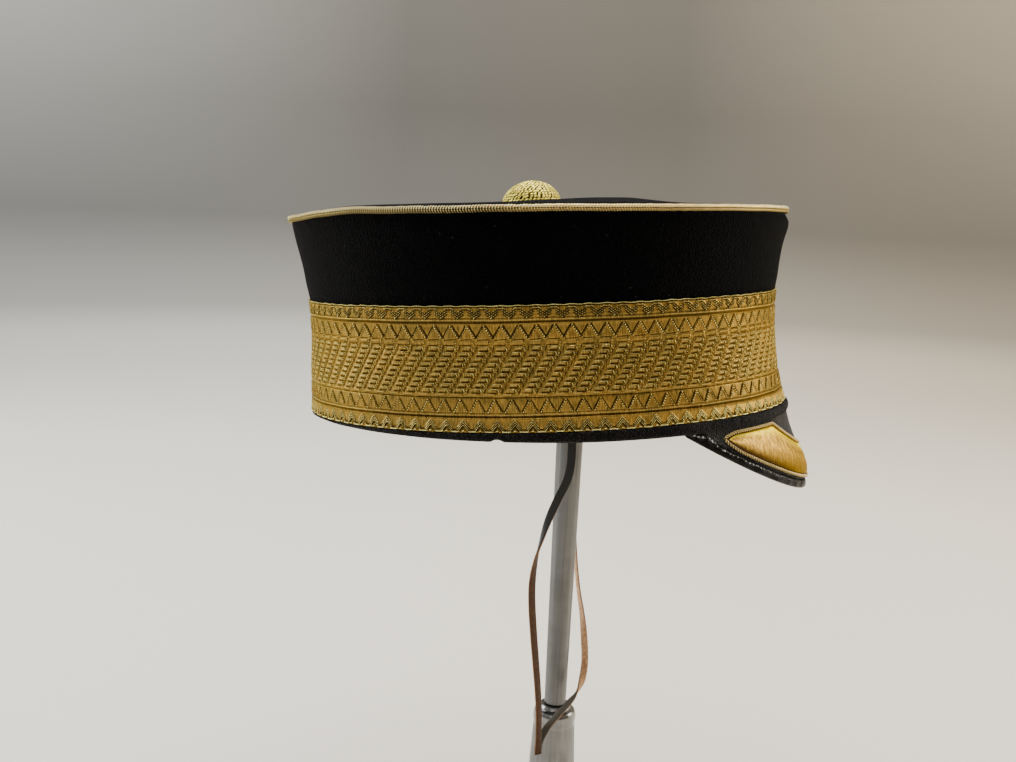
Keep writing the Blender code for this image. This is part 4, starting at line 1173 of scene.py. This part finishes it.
# Chin strap. One narrow strip of leather, blacked outside and left brown inside, sewn into the lining
# at both sides. It hangs in one long loop and twists once on each side. The brown is darker on the right
# and painted lighter on the left as painted light, and the black side carries a painted reflection at the
# foot of the loop.
STRAP_WIDTH, STRAP_THICKNESS = 0.0031, 0.0010
STRAP_DROP, STRAP_TUCK = 0.1393, 0.0150
STRAP_ROUTE = (
    # fore, across (right is +), height, degrees that the black side has turned from facing out
    (0.065, 1.000, 1.00, 0),
    (0.064, 1.000, 0.33, 0),
    (0.062, 0.994, -0.040, 0),
    (0.058, 0.986, -0.092, 2),
    (0.048, 0.976, -0.133, 8),
    (0.022, 0.950, -0.188, 22),
    (-0.002, 0.921, -0.244, 45),
    (-0.021, 0.891, -0.302, 78),
    (-0.037, 0.858, -0.360, 118),
    (-0.047, 0.826, -0.421, 142),
    (-0.050, 0.790, -0.483, 146),
    (-0.048, 0.734, -0.580, 144),
    (-0.044, 0.672, -0.678, 141),
    (-0.040, 0.610, -0.778, 138),
    (-0.039, 0.557, -0.864, 136),
    (-0.041, 0.520, -0.930, 138),
    (-0.043, 0.504, -0.970, 144),
    (-0.044, 0.497, -0.991, 156),
    (-0.044, 0.486, -1.000, 168),
    (-0.044, 0.475, -0.991, 180),
    (-0.040, 0.467, -0.970, 180),
    (-0.029, 0.451, -0.950, 178),
    (-0.011, 0.406, -0.935, 176),
    (0.016, 0.334, -0.923, 176),
    (0.041, 0.262, -0.914, 174),
    (0.062, 0.190, -0.907, 160),
    (0.083, 0.112, -0.895, 92),
    (0.099, 0.040, -0.873, 22),
    (0.109, -0.066, -0.841, 0),
    (0.111, -0.183, -0.800, -6),
    (0.109, -0.332, -0.745, -48),
    (0.102, -0.478, -0.688, -66),
    (0.098, -0.655, -0.614, -68),
    (0.097, -0.812, -0.496, -58),
    (0.098, -0.917, -0.367, -30),
    (0.093, -0.976, -0.215, 0),
    (0.086, -0.994, -0.072, 0),
    (0.080, -1.000, 0.33, 0),
    (0.078, -1.000, 1.00, 0),
)
STRAP_STEPS, STRAP_BANDS, STRAP_SIDES = 520, 20, 20

route = np.array(STRAP_ROUTE)
forward = route[:, 0] * STRAP_DROP
nearest = np.arccos((forward + STRAP_WIDTH / 2) / (CAP_LENGTH / 2))
wall = LACE_THICKNESS + CLOTH_THICKNESS + 2 * FIT_GAP + STRAP_THICKNESS / 2
inside = np.abs(oval(np.full(len(route), STRAP_TUCK), nearest)[:, 0]) - wall
level = route[:, 2] * np.where(route[:, 2] > 0, STRAP_TUCK, STRAP_DROP)
stations = np.column_stack([-route[:, 1] * inside, -forward, level])
lengths = run_along(stations)
columns = np.column_stack([lengths, stations, np.radians(route[:, 3])])
spread_out = np.linspace(0.0, lengths[-1], STRAP_STEPS + 1)
line = np.column_stack([eased(columns, spread_out, column) for column in range(1, 5)])
along = unit(np.gradient(line[:, :3], axis=0))
outward = unit(np.cross(along, [0.0, -1.0, 0.0]))
black_side = outward * np.cos(line[:, 3])[:, None]
black_side = black_side + np.cross(along, outward) * np.sin(line[:, 3])[:, None]
wide = np.cross(along, black_side)

strap = drum("leather_strap", STRAP_SIDES, STRAP_STEPS // STRAP_BANDS, STRAP_BANDS)
spots = corners(strap)
turn = bearings(spots)
number = np.round((spots[:, 2] + 0.5) * STRAP_STEPS).astype(int)
across = squarer(np.sin(turn), 0.45) * STRAP_WIDTH / 2
through = squarer(np.cos(turn), 0.5) * STRAP_THICKNESS / 2
across = across * (1.0 + 0.03 * ripple(91, 6, number * 0.06))
through = through * (1.0 - 0.25 * (np.abs(across) / STRAP_WIDTH * 2) ** 4)
aside, outside = wide[number] * across[:, None], black_side[number] * through[:, None]
put(strap, on_head(line[number, :3] + aside + outside))
close_ends(strap)
face_out(strap)
for name, values in (
    ("face", through / STRAP_THICKNESS * 2),
    ("edge", np.abs(across) / STRAP_WIDTH * 2),
    ("run", number / STRAP_STEPS),
):
    mark(strap, name, values)
strap_leather = finish_for("strap_leather", (0.09, 0.045, 0.022), 0.5, 0.0, {"Specular IOR Level": 0.25})
face, edge, run = [marked(strap_leather, name) for name in ("face", "edge", "run")]
grain = noise(strap_leather, 700.0, 4.0)
light_and_dark = spread(strap_leather, grain, 0.3, 0.7)
# The brown is painted lighter on the far leg, as painted light.
darker_brown = blend(strap_leather, light_and_dark, (0.034, 0.013, 0.004), (0.075, 0.030, 0.009))
painted_lit_brown = blend(strap_leather, light_and_dark, (0.46, 0.235, 0.105), (0.78, 0.46, 0.250))
brown = blend(strap_leather, spread(strap_leather, run, 0.43, 0.58), darker_brown, painted_lit_brown)
rim = blend(strap_leather, spread(strap_leather, edge, 0.88, 0.99), brown, (0.22, 0.105, 0.038))
blacked = spread(strap_leather, face, 0.15, 0.45)
# Painted reflection: the black side is lighter at the foot of the loop.
from_foot = maths(strap_leather, "ABSOLUTE", maths(strap_leather, "SUBTRACT", run, 0.52))
away_from_painted_reflection = spread(strap_leather, from_foot, 0.05, 0.11)
black_with_painted_reflection = blend(strap_leather, away_from_painted_reflection, (0.095, 0.080, 0.060), (0.0018, 0.0018, 0.0017))
colour_by(strap_leather, blend(strap_leather, blacked, rim, black_with_painted_reflection))
roughness_by(strap_leather, spread(strap_leather, face, 0.15, 0.45, 0.62, 0.34))
bump(strap_leather, grain, 0.0002, 0.6)
dress(strap, (strap_leather,))
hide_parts("chin_strap")
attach(strap, "root")


# Stand. Plain turned steel: a heavy round foot, a tapered leg with a flared end, a rounded collar with a
# seat ring, a slender pole that widens upwards, and the domed head that carries the crown.
SLEEVE_TOP_DIAMETER, SLEEVE_FLARE, SEAT_DIAMETER = 0.0180, 1.12, 0.0130
POLE_FOOT_DIAMETER, HEAD_RADIUS, HEAD_STEPS = 0.0093, 0.0900, 14
COLLAR_START, COLLAR_TURN, COLLAR_STEPS = 72, 10.368, 10
TURNED_AROUND, SHARP_EDGE = 96, math.radians(35)
AXIS, CHAMFER, COLLAR_CHAMFER, HEAD_CHAMFER = 0.001, 0.0003, 0.0004, 0.0009
QUARTERS = (0.0, 0.25, 0.5, 0.75, 1.0)


def draw_rings(rings):
    """Draws the selected ring, the first of these (radius, height) rings, out through the others."""
    radius, height = rings[0]
    for next_radius, next_height in rings[1:]:
        move = (0.0, 0.0, next_height - height)
        bpy.ops.mesh.extrude_edges_move(TRANSFORM_OT_translate={"value": move})
        bpy.ops.transform.resize(value=(next_radius / radius, next_radius / radius, 1.0))
        radius, height = next_radius, next_height


def turned(name, profile):
    """A closed turned piece, from (radius, height) points down its outer side."""
    bpy.ops.object.select_all(action="DESELECT")
    radius, height = profile[0]
    bpy.ops.mesh.primitive_circle_add(vertices=TURNED_AROUND, radius=radius, location=(0.0, 0.0, height))
    piece = named(name)
    bpy.ops.object.transform_apply(location=True)
    bpy.ops.object.mode_set(mode="EDIT")
    bpy.ops.mesh.select_mode(type="EDGE")
    bpy.ops.mesh.select_all(action="SELECT")
    draw_rings(profile)
    bpy.ops.object.mode_set(mode="OBJECT")
    close_ends(piece)
    face_out(piece)
    bpy.ops.object.shade_smooth_by_angle(angle=SHARP_EDGE)
    return piece


def steel(name, colour, roughness, metallic=0.85):
    """Dull turned steel with faint streaks along its length and a little mottling."""
    made = finish_for(name, colour, roughness, metallic)
    streak = drawn_out(made, node(made, "TexCoord").outputs["Object"], (900.0, 900.0, 12.0), 3.0)
    mottle = noise(made, 90.0, 4.0)
    tone = spread(made, maths(made, "ADD", streak, mottle), 0.75, 1.25)
    colour_by(made, blend(made, tone, [part * 0.68 for part in colour], [part * 1.16 for part in colour]))
    roughness_by(made, spread(made, mottle, 0.3, 0.7, roughness * 0.85, roughness * 1.2))
    bump(made, streak, 0.0001, 0.25)
    return made


def arc_of(centre, corner, count, start, stop):
    """Points of an elliptic arc, from its centre and the corner of the box round its first quarter."""
    points = []
    for number in range(count + 1):
        angle = math.radians(start + (stop - start) * number / count)
        reach = centre[0] + (corner[0] - centre[0]) * math.cos(angle)
        points.append((reach, centre[1] + (corner[1] - centre[1]) * math.sin(angle)))
    return points


def tapered(first, last, shares):
    """Points at these shares of the way from one (radius, height) to another."""
    (wide, high), (narrow, low) = first, last
    return [(wide + (narrow - wide) * share, high + (low - high) * share) for share in shares]


_, (foot_radius, _, foot_top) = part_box("stand_base")
(_, _, leg_low), (leg_radius, _, leg_high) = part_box("stand_sleeve")
(_, _, collar_low), (collar_radius, _, collar_high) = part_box("stand_collar")
(_, _, pole_low), (pole_top, _, pole_high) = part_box("stand_pole")
(_, _, head_low), (head_reach, _, head_high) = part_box("stand_head")

steel_foot = steel("steel_foot", (0.30, 0.30, 0.29), 0.42)
steel_leg = steel("steel_sleeve", (0.24, 0.24, 0.235), 0.44)
steel_collar = steel("steel_collar", (0.24, 0.24, 0.235), 0.16, 0.9)
steel_pole = steel("steel_pole", (0.17, 0.17, 0.168), 0.46)
steel_head = steel("steel_head", (0.30, 0.30, 0.30), 0.44)

rim = foot_top * 0.25
land = leg_radius + rim
foot_profile = [(AXIS, foot_top), (land * 0.9, foot_top), (land, foot_top * 0.995)]
foot_profile += [(land + (foot_radius - land) * 0.5, foot_top * 0.86)]
foot_profile += [(foot_radius - rim * 2, foot_top * 0.6)]
foot_profile += arc_of((foot_radius - rim * 0.8, foot_top * 0.2), (foot_radius, foot_top * 0.44), 8, 85, 0)
foot_profile += [(foot_radius - rim * 0.1, rim * 0.3), (foot_radius - rim * 0.3, 0.0), (AXIS, 0.0)]

leg_foot, leg_top = leg_radius / SLEEVE_FLARE, SLEEVE_TOP_DIAMETER / 2
flare_top = leg_low + (leg_high - leg_low) * 0.12
leg_profile = [(AXIS, collar_low), (leg_top, collar_low)]
leg_profile += tapered((leg_top, leg_high), (leg_foot * 0.94, flare_top), QUARTERS[1:])
leg_profile += [(leg_foot, leg_low + (flare_top - leg_low) * 0.45)]
leg_profile += [(leg_radius, leg_low + COLLAR_CHAMFER), (leg_foot * 1.11, leg_low), (AXIS, leg_low)]

seat = SEAT_DIAMETER / 2
collar_tall = collar_high - collar_low
collar_middle = collar_low + collar_tall * 0.4
collar_profile = [(AXIS, collar_high), (seat - COLLAR_CHAMFER, collar_high)]
collar_profile += [(seat, collar_high - COLLAR_CHAMFER)]
collar_profile += [(seat + COLLAR_CHAMFER, collar_high - collar_tall * 0.16)]
for step in range(COLLAR_STEPS + 1):
    angle = math.radians(COLLAR_START - COLLAR_TURN * step)
    reach = seat + (collar_radius - seat) * math.cos(angle) ** 0.6
    collar_profile.append((reach, collar_middle + collar_tall * 0.42 * math.sin(angle)))
collar_profile += [(leg_top, collar_low), (AXIS, collar_low)]

pole_foot = POLE_FOOT_DIAMETER / 2
pole_profile = [(AXIS, pole_high), (pole_top - CHAMFER, pole_high), (pole_top, pole_high - CHAMFER)]
pole_profile += tapered((pole_top, RIM_HEIGHT), (pole_foot, pole_low + CHAMFER), QUARTERS)
pole_profile += [(pole_foot - CHAMFER, pole_low), (AXIS, pole_low)]

widest = math.asin(head_reach / HEAD_RADIUS)
head_profile = []
for step in range(HEAD_STEPS + 1):
    turn = widest * step / HEAD_STEPS
    reach = max(HEAD_RADIUS * math.sin(turn), AXIS)
    head_profile.append((reach, head_high - HEAD_RADIUS + HEAD_RADIUS * math.cos(turn)))
head_profile += [(head_reach, head_low + HEAD_CHAMFER), (head_reach * 0.97, head_low), (AXIS, head_low)]

for name, profile, finish, stands_for, slot in (
    ("turned_foot", foot_profile, steel_foot, "stand_base", "steel_foot"),
    ("turned_leg", leg_profile, steel_leg, "stand_sleeve", "steel_sleeve"),
    ("turned_collar", collar_profile, steel_collar, "stand_collar", "steel_collar"),
    ("turned_pole", pole_profile, steel_pole, "stand_pole", "steel_pole"),
    ("turned_head", head_profile, steel_head, "stand_head", "steel_head"),
):
    piece = turned(name, profile)
    piece.data.materials.append(finish)
    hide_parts(stands_for)
    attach(piece, "root")


# Floor and backdrop. One pale sweep of paper turned round the stand: a light floor that curves up far off
# into a wall painted darker grey as painted shade, with painted warm light towards the peak's side,
# painted cool light behind, and painted light at both sides.
FLOOR_REACH, SWEEP_RADIUS, WALL_TOP = 1.9, 1.0, 3.0
PAPER_TONES = (
    # height in metres, lightness, darkening up the wall as painted shade
    (0.00, 0.96),
    (0.05, 0.80),
    (0.10, 0.50),
    (0.32, 0.22),
    (0.64, 0.19),
    (0.95, 0.26),
)
SWEEP_TILT, SWEEP_STEPS = 0.02, 16
CORNER_LIGHT, CORNER_SHARE = 0.84, 0.80
WARM_END, COOL_END = (0.93, 0.81, 0.62), (0.97, 1.0, 1.0)

bpy.ops.object.select_all(action="DESELECT")
bpy.ops.mesh.primitive_circle_add(vertices=TURNED_AROUND, radius=FLOOR_REACH, fill_type="NGON")
backdrop = named("backdrop")
bpy.ops.object.mode_set(mode="EDIT")
bpy.ops.mesh.select_mode(type="EDGE")
bpy.ops.mesh.select_all(action="SELECT")
bpy.ops.mesh.region_to_loop()
wall_reach = FLOOR_REACH + SWEEP_RADIUS
sweep = arc_of((FLOOR_REACH, SWEEP_RADIUS), (wall_reach, 2 * SWEEP_RADIUS), SWEEP_STEPS, -90, 0)
draw_rings(sweep + [(wall_reach, WALL_TOP)])
bpy.ops.mesh.select_all(action="SELECT")
bpy.ops.mesh.normals_make_consistent(inside=True)
bpy.ops.object.mode_set(mode="OBJECT")
backdrop.data.shade_smooth()
paper = finish_for("backdrop_paper", (0.6, 0.6, 0.6), 0.9)
across = node(paper, "SeparateXYZ", Vector=node(paper, "TexCoord").outputs["Object"])
sideways, heights = across.outputs["Y"], across.outputs["Z"]
leaning = maths(paper, "MULTIPLY", maths(paper, "MAXIMUM", sideways), SWEEP_TILT)
lifted = maths(paper, "ADD", heights, leaning)
tones = node(paper, "ValToRGB", Fac=lifted)
stops = tones.color_ramp.elements
while len(stops) < len(PAPER_TONES):
    stops.new(0.5)
for stop, (place, tone) in zip(stops, PAPER_TONES):
    stop.position, stop.color = place, (tone, tone, tone, 1.0)
# Painted light at both sides high up, and a painted warm and cool tint of light from side to side.
beside = spread(paper, maths(paper, "ABSOLUTE", sideways), 0.4, 1.5)
corner = maths(paper, "MULTIPLY", beside, spread(paper, heights, 0.25, 1.0, 0.0, CORNER_SHARE))
toned = blend(paper, corner, tones.outputs["Color"], (CORNER_LIGHT, CORNER_LIGHT, CORNER_LIGHT))
tint = blend(paper, spread(paper, sideways, -1.0, 1.6), WARM_END, COOL_END)
painted = node(paper, "Mix", {"data_type": "RGBA", "blend_type": "MULTIPLY"})
for socket, value in ((0, 1.0), (6, toned), (7, tint)):
    plug(paper, value, painted.inputs[socket])
colour_by(paper, painted.outputs[2])
backdrop.data.materials.append(paper)


# Lights. A wide soft light high over the cap, a broad and a small one off its peak, the same two off its
# back, a weak one on the camera's side, one for the paper far behind, and an even fill from all round.
PURE_WHITE, CAP_MIDDLE = (1.0, 1.0, 1.0), (0.0, 0.0, 0.22)
FAR_FLOOR = (2.0, 0.0, 0.0)
FILL_COLOUR, FILL_STRENGTH = (0.98, 0.97, 0.95, 1.0), 0.5


def softbox(name, place, size, power, colour=PURE_WHITE, aim=CAP_MIDDLE):
    """A square soft light that faces the cap or another aim."""
    light = bpy.data.lights.new(name, "AREA")
    light.size, light.energy, light.color = size, power, colour
    lamp = bpy.data.objects.new(name, light)
    bpy.context.scene.collection.objects.link(lamp)
    lamp.location = place
    lamp.rotation_mode = "QUATERNION"
    lamp.rotation_quaternion = (Vector(aim) - Vector(place)).to_track_quat("-Z", "Y")
    lamp.visible_camera = False


softbox("high_light", (0.10, 0.10, 1.50), 1.3, 24.0)
softbox("aft_light", (0.35, 1.35, 0.55), 0.9, 9.5, (0.96, 0.98, 1.0))
softbox("aft_spark", (0.15, 1.35, 0.62), 0.32, 3.4)
softbox("fore_light", (0.25, -1.35, 0.55), 0.9, 9.5, (1.0, 0.94, 0.84))
softbox("fore_spark", (0.15, -1.35, 0.62), 0.32, 3.4, (1.0, 0.96, 0.90))
softbox("near_light", (-1.30, 0.30, 0.90), 0.8, 1.6)
softbox("far_light", (2.0, 0.0, 2.4), 2.2, 40.0, aim=FAR_FLOOR)
world = bpy.data.worlds.new("studio")
world.use_nodes = True
fill = world.node_tree.nodes["Background"]
fill.inputs["Color"].default_value = FILL_COLOUR
fill.inputs["Strength"].default_value = FILL_STRENGTH
bpy.context.scene.world = world
